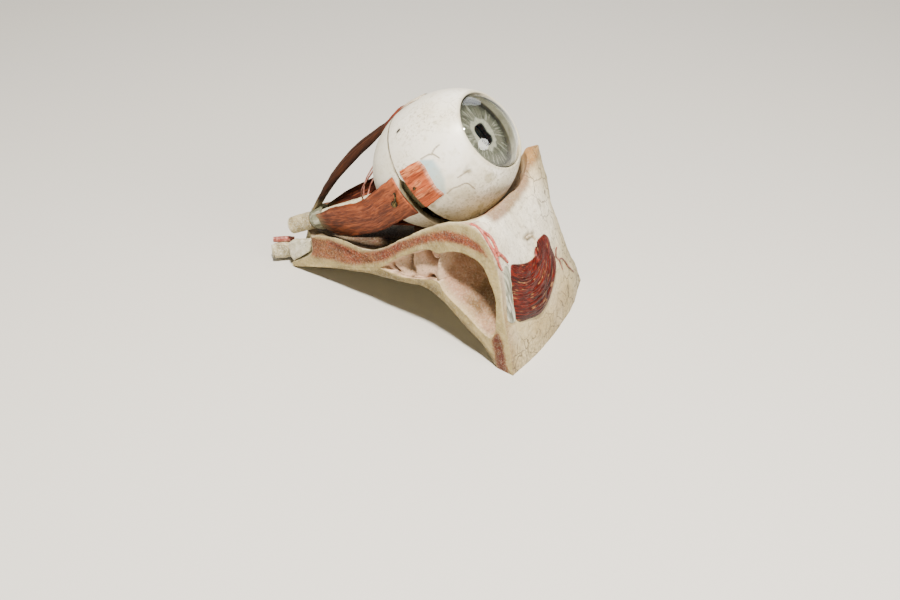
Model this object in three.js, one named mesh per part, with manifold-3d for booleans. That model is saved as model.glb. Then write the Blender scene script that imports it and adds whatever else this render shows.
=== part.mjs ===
// Anatomical teaching model of a right eye in its orbit, about five times life size.
// A cut block of cheek bone carries the eyeball, its muscles and the optic nerve. The eyeball lifts out
// of the orbit, its front half lifts off the back half, and the vitreous body and the lens follow.
// Millimetres, +Z up. +X is the front of the face and +Y the nose side; the temple side is cut open.
// The origin is on the table, in the middle of the flat foot under the face.
import * as THREE from 'three';
import { mergeVertices } from 'three/addons/utils/BufferGeometryUtils.js';
import Module from 'manifold-3d';

const wasm = await Module();
wasm.setup();

// Clearances
const SEAT_GAP = 0.3;
const SOCKET_GAP = 6;
const COLLAR_GAP = 1.2;

// Eyeball: place of its centre, direction of its optical axis and outer size
const EYE_CENTRE = new THREE.Vector3(-101.3, 21.8, 129.4);
const EYE_TILT_UP = 41;
const EYE_TURN_OUT = 7;
const EYE_HALF_LENGTH = 68;
const EYE_RADIUS = 54.7;
const SCLERA_WALL = 5;
const CHOROID_WALL = 1.4;
const CHOROID_FRONT_START_Z = 0;
const RETINA_WALL = 1.3;

// Seam between the halves: closed above, gaping below, with a collar of pasteboard inside
const SEAM_Z = -12;
const SEAM_GAPE = 10;
const SEAM_GAPE_IN_FRONT = 4;
const SEAM_GAPE_STARTS = 12;
const SEAM_GAPE_FULL = 5;
const COLLAR_WALL = 1.5;
const COLLAR_BACK_Z = -27;
const COLLAR_FRONT_Z = -2;
const COLLAR_BREAK_X = -19;

// Front of the eye
const LIMBUS_LIP = 1.4;
const CORNEA_LEDGE = 0.85;
const CHAMBER_MARGIN = 2.5;
const CORNEA_BULGE = 15;
const CORNEA_WALL = 1.6;
const IRIS_RADIUS = 30.5;
const IRIS_WALL = 1.6;
const IRIS_Z = 41;
const IRIS_RISE = 2.2;
const PUPIL_RADIUS = 8.5;
const PUPIL_RIDGE = 3;
const CILIARY_RADIUS = 40;
const CILIARY_INNER = 22.5;
const CILIARY_NECK_WALL = 4.5;
const CILIARY_FRONT_Z = 35.4;
const CILIARY_DEPTH = 8.5;
const CILIARY_FOLDS = 34;
const CILIARY_FOLD_HEIGHT = 2.2;
const LENS_RADIUS = 19.5;
const LENS_Z = 30;
const LENS_BACK_BULGE = 8.5;
const LENS_FRONT_BULGE = 7.5;
const VITREOUS_FRONT_Z = 25.5;
const VITREOUS_FRONT_REACH = 40;
const VITREOUS_GAP = 4;

// Optic nerve, its cut sheath and the tendon ring: places as x and y in the eyeball's own axes, and
// how far they lie behind its back pole
const NERVE_RADIUS = 6.2;
const NERVE_EXIT_Y = -8;
const NERVE_BEND = [[2, -8, 18], [10, -1, 46], [17.6, 5, 71]];
const NERVE_END = [19.7, 6.1, 80];
const NERVE_STEPS = 12;
const NERVE_SIDES = 12;
const SHEATH_END = [26.8, 4.3, 109];
const SHEATH_RADIUS = 7.6;
const SHEATH_BORE = 5;
const SHEATH_BORE_END = 4;
const SHEATH_BORE_DEPTH = 20;
const SHEATH_EDGE = 1;
const SHEATH_SEAT_LENGTH = 40;
const SHEATH_SEAT_START = 2;
const TENDON_RADIUS = 10.6;
const TENDON_LENGTH = 13;
const TENDON_BORE_GAP = 1.2;
const TENDON_TAPER = 3;
const TENDON_TAPER_START = 1.95;
const TENDON_SEAT_GAP = 1.5;
const CILIARY_NERVE_RADIUS = 0.6;
const CILIARY_NERVE_START = 29;
const CILIARY_NERVE_SLACK = 8;
// Each thread: its angle round the nerve from the top towards the temple, then where it meets the eyeball
const CILIARY_NERVES = [[8, 33, -3], [42, 27, 12], [-42, 26, -16], [140, -20, 16], [-140, -20, -22]];

// Straight muscles: half width and half thickness along the strap, tendon end first
const MUSCLE_TENDON_HALF_WIDTH = 6.5;
const MUSCLE_BELLY_HALF_WIDTH = 15;
const MUSCLE_SEAM_HALF_WIDTH = 17.5;
const MUSCLE_TENDON_HALF_THICKNESS = 2;
const MUSCLE_HALF_THICKNESS = 3.2;
const MUSCLE_SEAM_HALF_THICKNESS = 1.5;
const MUSCLE_SEAM_SPREAD = 1.08;
const MUSCLE_SEAM_LIFT = 1;
const MUSCLE_ROOT_DEPTH = 4;
const MUSCLE_STATIONS = 9;
const MUSCLE_LEAVES_POLE = 38;
const MUSCLE_LEAVES_LIFT = 1.6;
const MUSCLE_INSERTION_Z = 16;
const MUSCLE_INSERTION_RELIEF = 1.3;
const MUSCLE_INSERTION_DEPTH = 3;
const MUSCLE_INSERTION_THINS = 0.7;
const MUSCLE_INSERTION_NARROWS = 0.06;
const MUSCLE_INSERTION_ROWS = [0, 0.33, 0.67, 1];
const MUSCLE_INSERTION_COLUMNS = 6;
// Share of its full width and thickness that a muscle has at a share of its length
const MUSCLE_WIDENS = [[0.22, 0.78], [0.6, 0.94], [1, 1]];
const MUSCLE_THICKENS = [[0.25, 1], [0.7, 1], [1, 0.62]];
// Share of its length in which a muscle swings over to its own line
const MUSCLE_SWINGS_OVER = 0.625;
// How full the section of a muscle is: 1 is an ellipse, less is squarer
const MUSCLE_SECTION_POWER = 0.7;
const SUPERIOR_HALF_WIDTH = 11;
const SUPERIOR_OFFSET_Y = -6;

// Hook and catch that hold the halves shut
const HOOK_PLACE = [-2, -29.5];
const HOOK_TURN = 29;
const HOOK_LENGTH = 11;
const HOOK_WIRE = 0.9;
const HOOK_SCREW_RADIUS = 2.4;
const HOOK_SCREW_SHANK = 1;
const HOOK_SCREW_DEPTH = 4;
const HOOK_SCREW_POINT = 1.4;
const HOOK_SCREW_HEAD = 1.2;
const HOOK_SEAT = 0.6;
const CATCH_PLACE = [0.1, -2.4];
const CATCH_RADIUS = 1.4;

// Base: foot line under the face, back end of the base, and the temple-side cut through both
const FOOT_LINE = [[-11, -84], [-1, -44], [5, -2], [7, 39], [3, 80]];
const BACK_LINE = [[-246.3, 24.9], [-243, 74]];
const FOOT_WIDTH = 17;

// Outlines of the base on upright planes from the foot line to the back line, temple side first.
// Each holds the face, then the top from the rim to the back end, as distance from the foot and height.
const BASE_OUTLINES = [
  {
    share: 0,
    face: [[0, 0], [3.2, 21], [8.3, 40], [11.8, 58], [14.3, 77], [22, 99], [36.8, 116.5], [50, 119.5]],
    top: [[50, 119.5], [74, 112], [96, 98], [118.6, 81.3], [142, 64], [164.6, 53], [196, 51], [221, 45],
      [232.5, 39.5]],
    end: [[232.5, 39.5], [234, 21.5], [259, 4]],
    arch: 1,
  },
  {
    share: 0.12,
    face: [[0, 0], [3, 21], [8.2, 40], [12.5, 58], [17, 77], [25, 99], [37, 115], [47, 119]],
    top: [[47, 119], [68, 106], [88, 90], [110, 74], [136, 59], [160, 47], [198, 41], [222, 37], [234, 33]],
    end: [[234, 33], [236, 21], [257, 4]],
    arch: 1,
  },
  {
    share: 0.33,
    face: [[0, 0], [2, 21], [8, 40], [14, 58], [20, 77], [30, 99], [40, 113], [46, 118]],
    top: [[46, 118], [66, 97], [84, 80], [104, 69], [130, 59], [160, 46], [205, 38], [230, 38.5], [246, 33]],
    end: [[246, 33], [250, 18], [253, 4]],
    arch: 0.98,
  },
  {
    share: 0.66,
    face: [[0, 0], [2, 21], [8, 40], [14, 58], [20, 77], [30, 99], [41, 114], [47, 120]],
    top: [[47, 120], [57, 103], [68, 86], [86, 70], [108, 60], [132, 55], [163, 46], [206, 40], [243, 34]],
    end: [[243, 34], [248, 18], [250, 4]],
    arch: 0.94,
  },
  {
    share: 0.83,
    face: [[0, 0], [3, 21], [9, 40], [15, 58], [21, 77], [30, 99], [38, 122], [44, 138]],
    top: [[44, 138], [53, 118], [66, 95], [86, 76], [108, 66], [132, 61], [165, 52], [206, 45], [241, 36]],
    end: [[241, 36], [246, 18], [248, 4]],
    arch: 0.9,
  },
  {
    share: 1,
    face: [[0, 0], [6.7, 21], [12.8, 40], [18.5, 58], [24.4, 77], [30, 95], [33, 102], [36, 106]],
    top: [[36, 106], [50, 98], [66, 91], [86, 86], [108, 82], [134, 77], [168, 67], [206, 53], [238, 40]],
    end: [[238, 40], [243, 19], [245, 4]],
    arch: 0.82,
  },
];
// Underside of the temple-side outline, back end first: the base stands on its foot and its back edge
const BASE_ARCH = [[259, 0], [235.6, 8.2], [210, 17.3], [185, 25], [149, 34], [117, 39.4], [98.8, 43.5],
  [77.5, 39.2], [52, 25], [31, 14.5], [17, 0]];
// How far the nose-side edge of the face draws in towards the nostril, by height
const NOSTRIL_DEPTH = [[0, 0], [17, 3.4], [28, 7.5], [44, 11], [62, 13.7], [79, 16.5], [92, 12.8], [104, 7.7],
  [140, 5]];
const NOSTRIL_STARTS = 0.55;
const NOSTRIL_REACH = [25, 45];
const BASE_STATIONS = 12;
const BASE_DIVISIONS = { face: 11, top: 16, end: 4, arch: 14 };

// Sinus, open on the temple-side cut: outline there, and how it shrinks and climbs inwards
const SINUS_OUTLINE = [[149, 41.5], [131, 56.8], [116, 67.5], [103, 76], [92, 80.5], [82, 80.5], [69, 87],
  [57, 91], [46, 91.5], [37, 89], [30.5, 84], [25.5, 76.5], [20.5, 66], [19.3, 54], [19.2, 40], [21, 29],
  [25, 24.5], [33, 26.5],
  [52, 36], [75, 46.5], [84, 54.5], [103, 48.5], [125, 42.5], [146, 41]];
const SINUS_PATH = [
  { share: -0.02, size: 1, centre: [60, 62] },
  { share: 0.0, size: 1, centre: [60, 62] },
  { share: 0.08, size: 0.9, centre: [58, 63] },
  { share: 0.2, size: 0.72, centre: [52, 66] },
  { share: 0.34, size: 0.5, centre: [45, 68] },
  { share: 0.48, size: 0.32, centre: [42, 69] },
  { share: 0.56, size: 0.12, centre: [41, 69] },
];

// Pieces at the back end of the base, where the vessels and nerves of the orbit are cut off
const STUMP_BLOCK = [[234.6, 35], [236.8, 22.8], [257.5, 5.6], [262.6, 9], [263.6, 21.5], [259, 25.4]];
const STUMP_BLOCK_DEPTH = 9;
const ROUND_STUMP = [[-244, 44.5, 9], [-254, 37.8, 9.3], [-265, 30.6, 8.6]];
const ROUND_STUMP_RADIUS = 7.4;
const ARTERY_STUMP = [[-249, 38.5, 19.4], [-256, 37.5, 19.2], [-267, 34, 18.4]];
const ARTERY_STUMP_RADIUS = 2.6;

// Face: outlines of the muscle and of the tendon at its temple side, and lines of the nerve and vessels,
// each as distance towards the nose and height
const FACE_MUSCLE = [[10.5, 79.2], [16.2, 74], [16.3, 66], [18, 55], [12.4, 46.1], [-5, 36.9], [-19.8, 31.9],
  [-34, 30.4], [-48, 33.4], [-64.6, 40], [-62.6, 57.3], [-60, 73.7], [-56.7, 80.7], [-51.9, 83],
  [-39.7, 77.4], [-26.6, 72.7], [-16.5, 72.1], [-11.5, 75.8], [-4.6, 78.6], [2, 79.8]];
const FACE_MUSCLE_CENTRE = [-24, 52];
const FACE_MUSCLE_RELIEF = 4.6;
const FACE_TENDON = [[-75, 44.5], [-73.6, 56], [-72, 68], [-70.6, 78], [-66, 86.5], [-59.5, 85], [-61.6, 76],
  [-63.4, 66],
  [-65.2, 52], [-67.2, 40.6]];
const FACE_TENDON_CENTRE = [-68, 62];
const FACE_TENDON_RELIEF = 2;
// Dome of a pad on the face: share of its outline, and share of its relief there
const FACE_PAD_LEVELS = [[1, 0.2], [0.92, 0.62], [0.66, 0.92], [0.3, 1]];
const FACE_PAD_ROOT = 2;
const FACE_PAD_CORNERS = 34;
const FACE_NERVE = [[-16.5, 88.4], [-11, 87.8], [-6.6, 85.8], [-5.4, 81.5], [-8, 77]];
const FACE_NERVE_RADIUS = 1;
const FACE_ARTERY = [
  [[-59, 117.6], [-63.6, 114.5], [-65, 109.6], [-65, 104], [-67.4, 97.9], [-68, 93], [-66.6, 89.2]],
  [[-65, 104], [-60.4, 98.8], [-54.5, 91.6], [-49.4, 85.6]],
];
const FACE_ARTERY_RADIUS = 1.3;
const FACE_VEINS = [
  [[20.4, 54], [24, 49.8], [30.9, 47], [36, 41.6], [41, 34.2], [53, 22.8]],
  [[24, 49.8], [25, 44.5], [25.6, 39.5]],
  [[20.4, 54], [23.4, 57.6], [28, 59]],
];
const FACE_VEIN_RADIUS = 0.7;

// Fat pad under the eyeball: its middle from the eyeball's, how far below its underside, and half sizes
const FAT_PAD_OFFSET = [-10.7, 1.2];
const FAT_PAD_DROP = 9.6;
const FAT_PAD_SIZE = [19, 12, 9];

// Roundness of the eyeball's shells
const EYE_ROUND = 30;
const EYE_ARC = 6;
const LENS_ARC = 4;

const degrees = (angle) => THREE.MathUtils.degToRad(angle);
const point = (list) => new THREE.Vector3(...list);

// The eyeball's own axes: x points up the eye, y to the temple and z out through the pupil.
const eyeAxis = new THREE.Vector3(
  Math.cos(degrees(EYE_TILT_UP)) * Math.cos(degrees(EYE_TURN_OUT)),
  -Math.cos(degrees(EYE_TILT_UP)) * Math.sin(degrees(EYE_TURN_OUT)),
  Math.sin(degrees(EYE_TILT_UP)),
);
const eyeOut = new THREE.Vector3(-Math.sin(degrees(EYE_TURN_OUT)), -Math.cos(degrees(EYE_TURN_OUT)), 0);
const eyeUp = new THREE.Vector3().crossVectors(eyeOut, eyeAxis);
const eyeFrame = new THREE.Matrix4().makeBasis(eyeUp, eyeOut, eyeAxis).setPosition(EYE_CENTRE);

// Closed mesh with shared corners, no collapsed triangles and its faces outwards.
function closed(geometry) {
  const bare = geometry.clone();
  bare.deleteAttribute('normal');
  bare.deleteAttribute('uv');
  const merged = mergeVertices(bare, 1e-4);
  const corner = merged.getAttribute('position');
  const old = merged.index.array;
  const kept = [];
  let volume = 0;
  const a = new THREE.Vector3();
  const b = new THREE.Vector3();
  const c = new THREE.Vector3();
  for (let i = 0; i < old.length; i += 3) {
    const [p, q, r] = [old[i], old[i + 1], old[i + 2]];
    if (p !== q && q !== r && r !== p) {
      kept.push(p, q, r);
      a.fromBufferAttribute(corner, p);
      b.fromBufferAttribute(corner, q);
      c.fromBufferAttribute(corner, r);
      volume += a.dot(b.cross(c));
    }
  }
  if (volume < 0) {
    for (let i = 0; i < kept.length; i += 3) {
      [kept[i], kept[i + 1]] = [kept[i + 1], kept[i]];
    }
  }
  merged.setIndex(kept);
  return merged;
}

function toSolid(geometry) {
  const mesh = closed(geometry);
  return new wasm.Manifold(new wasm.Mesh({
    numProp: 3,
    vertProperties: new Float32Array(mesh.getAttribute('position').array),
    triVerts: new Uint32Array(mesh.index.array),
  }));
}

function toGeometry(solid) {
  const mesh = solid.getMesh();
  const geometry = new THREE.BufferGeometry();
  geometry.setAttribute('position', new THREE.BufferAttribute(new Float32Array(mesh.vertProperties), 3));
  geometry.setIndex(new THREE.BufferAttribute(new Uint32Array(mesh.triVerts), 1));
  return geometry;
}

// Skin over a row of closed rings with equal counts of corners.
function skin(rings) {
  const count = rings[0].length;
  const index = [];
  for (let near = 0; near + count < rings.length * count; near += count) {
    for (let i = 0; i < count; i += 1) {
      const next = (i + 1) % count;
      const far = near + count;
      index.push(near + i, near + next, far + i, near + next, far + next, far + i);
    }
  }
  const corners = rings.flat().flatMap((p) => p.toArray());
  const geometry = new THREE.BufferGeometry();
  geometry.setAttribute('position', new THREE.Float32BufferAttribute(corners, 3));
  geometry.setIndex(index);
  return geometry;
}

// Skin over a row of rings, with a flat cap at each end.
function loft(rings) {
  const geometry = skin(rings);
  const index = Array.from(geometry.index.array);
  const last = (rings.length - 1) * rings[0].length;
  capFaces(rings[0]).forEach(([p, q, r]) => index.push(p, r, q));
  capFaces(rings[rings.length - 1]).forEach(([p, q, r]) => index.push(last + p, last + q, last + r));
  geometry.setIndex(index);
  return closed(geometry);
}

// Triangles that fill one ring, in the order that turns with the ring.
function capFaces(ring) {
  const normal = new THREE.Vector3();
  ring.forEach((p, i) => {
    const q = ring[(i + 1) % ring.length];
    normal.add(new THREE.Vector3().crossVectors(p, q));
  });
  normal.normalize();
  const side = new THREE.Vector3(0, 0, 1).cross(normal);
  if (side.length() < 0.1) side.set(1, 0, 0);
  side.normalize();
  const up = new THREE.Vector3().crossVectors(normal, side);
  const flat = ring.map((p) => new THREE.Vector2(p.dot(side), p.dot(up)));
  return THREE.ShapeUtils.triangulateShape(flat, []);
}

// Solid of revolution about the eye's axis: the profile is a list of [radius, z], closed on itself.
function revolve(profile, segments = EYE_ROUND) {
  const points = profile.map(([radius, z]) => new THREE.Vector2(radius, z));
  const geometry = new THREE.LatheGeometry([...points, points[0]], segments);
  return closed(geometry.rotateX(Math.PI / 2));
}

// Round tube along a smooth line through the points.
function tube(points, radius, steps, sides = 10) {
  const section = new THREE.Shape();
  for (let i = 0; i < sides; i += 1) {
    const angle = (2 * Math.PI * i) / sides;
    const corner = [radius * Math.cos(angle), radius * Math.sin(angle)];
    if (i === 0) section.moveTo(...corner);
    else section.lineTo(...corner);
  }
  section.closePath();
  const extrudePath = new THREE.CatmullRomCurve3(points);
  const settings = { steps, extrudePath, bevelEnabled: false, curveSegments: 1 };
  return closed(new THREE.ExtrudeGeometry(section, settings));
}

// Value at a place along a row of [place, value] pairs, on a smooth line.
function smoothValue(pairs, place) {
  const last = pairs.length - 1;
  let i = 0;
  while (i < last - 1 && place > pairs[i + 1][0]) i += 1;
  const [x0, y0] = pairs[i];
  const [x1, y1] = pairs[i + 1];
  const slope = (from, to) => (pairs[to][1] - pairs[from][1]) / (pairs[to][0] - pairs[from][0]);
  const start = slope(Math.max(i - 1, 0), i + 1);
  const end = slope(i, Math.min(i + 2, last));
  const t = THREE.MathUtils.clamp((place - x0) / (x1 - x0), 0, 1);
  const span = x1 - x0;
  const rise = t * t * (3 - 2 * t);
  return y0 + (y1 - y0) * rise + span * (start * t * (1 - t) * (1 - t) - end * t * t * (1 - t));
}

const spheroidRadius = (radius, halfLength, z) => radius * Math.sqrt(Math.max(0, 1 - (z / halfLength) ** 2));

// Points of a spheroid's meridian between two heights. All shells share the same angles, so that they nest.
function meridian(radius, halfLength, fromZ, toZ) {
  const corners = Array.from({ length: 2 * EYE_ARC + 1 }, (_, i) => {
    const angle = (Math.PI / 2) * (i / EYE_ARC - 1);
    return [radius * Math.cos(angle), halfLength * Math.sin(angle)];
  });
  const ends = [fromZ, toZ].map((z) => {
    const high = Math.max(1, corners.findIndex((corner) => corner[1] >= Math.min(z, halfLength)));
    const [[r0, z0], [r1, z1]] = [corners[high - 1], corners[high]];
    return [r0 + ((r1 - r0) * (z - z0)) / (z1 - z0), z];
  });
  const [low, high] = [Math.min(fromZ, toZ), Math.max(fromZ, toZ)];
  const inside = corners.filter(([, z]) => z > low + SEAT_GAP && z < high - SEAT_GAP);
  if (fromZ > toZ) inside.reverse();
  return [ends[0], ...inside, ends[1]];
}

const shellRadius = (inset) => EYE_RADIUS - inset;
const shellHalfLength = (inset) => EYE_HALF_LENGTH - inset;
const choroidOuter = SCLERA_WALL + SEAT_GAP;
const choroidInner = choroidOuter + CHOROID_WALL;
const retinaOuter = choroidInner + SEAT_GAP;
const retinaInner = retinaOuter + RETINA_WALL;
const collarOuter = SCLERA_WALL + COLLAR_GAP;
const collarInner = collarOuter + COLLAR_WALL;
const seamFrontZ = SEAM_Z + SEAM_GAPE_IN_FRONT;
const seamBackZ = seamFrontZ - SEAM_GAPE;
const ciliaryBackZ = CILIARY_FRONT_Z - CILIARY_DEPTH;
const chamberRadius = IRIS_RADIUS + CHAMBER_MARGIN;
const limbusRadius = chamberRadius + CORNEA_LEDGE + LIMBUS_LIP;
const limbusZ = spheroidRadius(EYE_HALF_LENGTH, EYE_RADIUS, limbusRadius);
const corneaRim = limbusRadius - LIMBUS_LIP - SEAT_GAP;

// Solid spheroid grown by a clearance, for cutting what the eyeball sits in.
function eyeSpheroid(growth) {
  const halfLength = EYE_HALF_LENGTH + growth;
  return revolve(meridian(EYE_RADIUS + growth, halfLength, -halfLength, halfLength));
}

// Slab that holds one side of the seam. The seam lies square across the eye above and gapes below.
function seamSlab(front) {
  const reach = EYE_HALF_LENGTH * 1.5;
  const shut = front ? SEAM_Z + SEAT_GAP / 2 : SEAM_Z - SEAT_GAP / 2;
  const open = front ? seamFrontZ : seamBackZ;
  const far = front ? reach : -reach;
  const outline = [
    [reach, shut],
    [SEAM_GAPE_STARTS, shut],
    [SEAM_GAPE_FULL, open],
    [-reach, open],
    [-reach, far],
    [reach, far],
  ];
  const ring = (y) => outline.map(([x, z]) => new THREE.Vector3(x, y, z));
  return toSolid(loft([ring(-reach), ring(reach)]));
}

const backSlab = seamSlab(false);
const frontSlab = seamSlab(true);

// Sclera, back half: a cup with a hole where the optic nerve leaves.
function scleraBack() {
  const outer = meridian(EYE_RADIUS, EYE_HALF_LENGTH, -EYE_HALF_LENGTH, 0);
  const innerLength = shellHalfLength(SCLERA_WALL);
  const inner = meridian(shellRadius(SCLERA_WALL), innerLength, 0, -innerLength);
  const cup = toSolid(revolve([...outer, ...inner]));
  return toGeometry(cup.intersect(backSlab).subtract(nerveHole()));
}

function nerveHole() {
  const depth = EYE_HALF_LENGTH;
  const hole = new THREE.CylinderGeometry(NERVE_RADIUS + SEAT_GAP, NERVE_RADIUS + SEAT_GAP, depth, 20);
  return toSolid(hole.rotateX(Math.PI / 2).translate(0, NERVE_EXIT_Y, -depth));
}

// Thin inner cups of the back half, which end behind the collar.
function innerCup(outerInset, innerInset) {
  const edge = COLLAR_BACK_Z - SEAT_GAP;
  const [outerRadius, outerLength] = [shellRadius(outerInset), shellHalfLength(outerInset)];
  const [innerRadius, innerLength] = [shellRadius(innerInset), shellHalfLength(innerInset)];
  const outer = meridian(outerRadius, outerLength, -outerLength, edge);
  const inner = meridian(innerRadius, innerLength, edge, -innerLength);
  return revolve([...outer, ...inner]);
}

const choroidBack = () => innerCup(choroidOuter, choroidInner);
const retinaBack = () => innerCup(retinaOuter, retinaInner);

// Collar that lines up the halves: its lower part is broken away.
function collar() {
  const [outerRadius, outerLength] = [shellRadius(collarOuter), shellHalfLength(collarOuter)];
  const [innerRadius, innerLength] = [shellRadius(collarInner), shellHalfLength(collarInner)];
  const outer = meridian(outerRadius, outerLength, COLLAR_BACK_Z, COLLAR_FRONT_Z);
  const inner = meridian(innerRadius, innerLength, COLLAR_FRONT_Z, COLLAR_BACK_Z);
  const ring = toSolid(revolve([...outer, ...inner]));
  const size = EYE_RADIUS * 2;
  const gap = new THREE.BoxGeometry(size, size * 2, size);
  gap.translate(COLLAR_BREAK_X - size / 2, 0, 0);
  return toGeometry(ring.subtract(toSolid(gap)));
}

// Sclera, front half: thick round the chamber, with a ledge inside its lip for the cornea.
function scleraFront() {
  const shoulderZ = CILIARY_FRONT_Z + SEAT_GAP;
  const startZ = seamBackZ;
  const outer = meridian(EYE_RADIUS, EYE_HALF_LENGTH, startZ, limbusZ);
  const inner = meridian(shellRadius(SCLERA_WALL), shellHalfLength(SCLERA_WALL), ciliaryBackZ, startZ);
  const ledgeZ = limbusZ - CORNEA_WALL - SEAT_GAP;
  const profile = [
    ...outer,
    [limbusRadius - LIMBUS_LIP, limbusZ],
    [limbusRadius - LIMBUS_LIP, ledgeZ],
    [chamberRadius, ledgeZ],
    [chamberRadius, shoulderZ],
    [CILIARY_RADIUS + SEAT_GAP, shoulderZ],
    [CILIARY_RADIUS + 2 * SEAT_GAP, LENS_Z],
    ...inner,
  ];
  return toGeometry(toSolid(revolve(profile)).intersect(frontSlab));
}

// Cornea: a shallow glass dome whose rim stands on the ledge.
function cornea() {
  const footZ = limbusZ - CORNEA_WALL;
  const innerRim = corneaRim - CORNEA_WALL * 1.5;
  const sphere = (corneaRim ** 2 + CORNEA_BULGE ** 2) / (2 * CORNEA_BULGE);
  const middleZ = footZ + CORNEA_BULGE - sphere;
  const arc = (radius, edge) => {
    const half = Math.asin(edge / radius);
    return Array.from({ length: LENS_ARC + 1 }, (_, i) => {
      const angle = half * (1 - i / LENS_ARC);
      return [radius * Math.sin(angle), middleZ + radius * Math.cos(angle)];
    });
  };
  const outer = arc(sphere, corneaRim);
  const inner = arc(sphere - CORNEA_WALL, innerRim).reverse();
  return revolve([...outer, ...inner, [innerRim, footZ]]);
}

// Iris: a low cone with a ridge round the pupil.
function iris() {
  const topZ = IRIS_Z + IRIS_RISE;
  const middle = (IRIS_RADIUS + PUPIL_RADIUS) / 2;
  const edge = IRIS_WALL / 4;
  const profile = [
    [IRIS_RADIUS, IRIS_Z],
    [IRIS_RADIUS, IRIS_Z + 2 * edge],
    [middle, topZ],
    [PUPIL_RADIUS + PUPIL_RIDGE, topZ + edge],
    [PUPIL_RADIUS, topZ - edge],
    [PUPIL_RADIUS, topZ - IRIS_WALL],
    [middle, topZ - IRIS_WALL],
    [IRIS_RADIUS - 2 * IRIS_WALL, IRIS_Z],
  ];
  return revolve(profile);
}

// Ciliary ring: carries the iris on its neck, and its back is drawn into folds that reach for the lens.
function ciliaryRing() {
  const chamfer = 2;
  const neckZ = IRIS_Z - SEAT_GAP;
  const neckInner = CILIARY_INNER + 3;
  const steps = CILIARY_FOLDS * 2;
  const section = (fold) => [
    [CILIARY_INNER + fold, CILIARY_FRONT_Z - 2 * chamfer],
    [CILIARY_INNER + fold, ciliaryBackZ + chamfer],
    [CILIARY_INNER + 3 * chamfer + fold / 2, ciliaryBackZ],
    [CILIARY_RADIUS - chamfer, ciliaryBackZ],
    [CILIARY_RADIUS, ciliaryBackZ + chamfer],
    [CILIARY_RADIUS, CILIARY_FRONT_Z],
    [neckInner + CILIARY_NECK_WALL, CILIARY_FRONT_Z],
    [neckInner + CILIARY_NECK_WALL, neckZ],
    [neckInner, neckZ],
  ];
  const rings = Array.from({ length: steps + 1 }, (_, i) => {
    const angle = (2 * Math.PI * (i % steps)) / steps;
    const fold = i % 2 ? CILIARY_FOLD_HEIGHT : 0;
    return section(fold).map(([r, z]) => new THREE.Vector3(r * Math.cos(angle), r * Math.sin(angle), z));
  });
  return closed(skin(rings));
}

// Dark lining of the front half between the collar and the ciliary ring.
function choroidFront() {
  const startZ = CHOROID_FRONT_START_Z;
  const endZ = ciliaryBackZ - SEAT_GAP;
  const outer = meridian(shellRadius(choroidOuter), shellHalfLength(choroidOuter), startZ, endZ);
  const inner = meridian(shellRadius(choroidInner), shellHalfLength(choroidInner), endZ, startZ);
  return revolve([...outer, ...inner]);
}

// One face of the lens as [radius, z] pairs, from the axis out to a share of its radius.
function lensFace(bulge, lift, reach) {
  const shares = Array.from({ length: LENS_ARC }, (_, i) => i / LENS_ARC).filter((share) => share < reach);
  return [...shares, reach].map((share) => [LENS_RADIUS * share, LENS_Z + lift + bulge * (1 - share ** 2)]);
}

// Vitreous body: fills the back cups, with a cup in its front for the lens.
function vitreous() {
  const radius = shellRadius(retinaInner + SEAT_GAP);
  const halfLength = shellHalfLength(retinaInner + SEAT_GAP);
  const back = meridian(radius, halfLength, -halfLength, COLLAR_BACK_Z - SEAT_GAP);
  const waist = shellRadius(collarInner) - VITREOUS_GAP;
  const front = meridian(waist, VITREOUS_FRONT_REACH, 0, VITREOUS_FRONT_Z);
  const cupReach = Math.sqrt(1 - (LENS_Z - SEAT_GAP - VITREOUS_FRONT_Z) / LENS_BACK_BULGE);
  const cup = lensFace(-LENS_BACK_BULGE, -SEAT_GAP, cupReach).reverse();
  return revolve([...back, ...front, ...cup]);
}

// Lens: flatter in front than behind.
function lens() {
  const rim = 0.5;
  const back = lensFace(-LENS_BACK_BULGE, 0, 1 - rim / LENS_RADIUS);
  const front = lensFace(LENS_FRONT_BULGE, 0, 1 - rim / LENS_RADIUS).reverse();
  return revolve([...back, [LENS_RADIUS, LENS_Z], ...front]);
}

// Nerve, tendon ring and sheath: one bent cord in three pieces.
const nerveStart = new THREE.Vector3(0, NERVE_EXIT_Y, -EYE_HALF_LENGTH + SCLERA_WALL * 0.5);
const behindPole = ([x, y, distance]) => new THREE.Vector3(x, y, -EYE_HALF_LENGTH - distance);
const nerveBend = NERVE_BEND.map(behindPole);
const nerveEnd = behindPole(NERVE_END);
const sheathEnd = behindPole(SHEATH_END);
const sheathAxis = sheathEnd.clone().sub(nerveEnd).normalize();
const tendonAxis = nerveEnd.clone().sub(nerveBend[2]).normalize();
const tendonMiddle = nerveEnd.clone().addScaledVector(tendonAxis, -SEAT_GAP - TENDON_LENGTH / 2);
const tendonFront = tendonMiddle.clone().addScaledVector(tendonAxis, -TENDON_LENGTH / 2 - SEAT_GAP);

const nerveLine = [nerveStart, ...nerveBend, nerveEnd];

// A lathe profile of [radius, distance] pairs set along a direction from a place in the eye's axes.
function turned(profile, place, direction, segments) {
  const geometry = revolve(profile, segments);
  const turn = new THREE.Quaternion().setFromUnitVectors(new THREE.Vector3(0, 0, 1), direction);
  return geometry.applyQuaternion(turn).translate(...place.toArray());
}

// Everything behind a place, seen along a direction: trims the ends of the pieces that meet there.
function behind(place, direction) {
  const reach = 60;
  return toSolid(turned([[0, 0], [reach, 0], [reach, reach], [0, reach]], place, direction, 16));
}

const sheathSide = behind(nerveEnd, sheathAxis);
const tendonSide = behind(tendonFront, tendonAxis);

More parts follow.
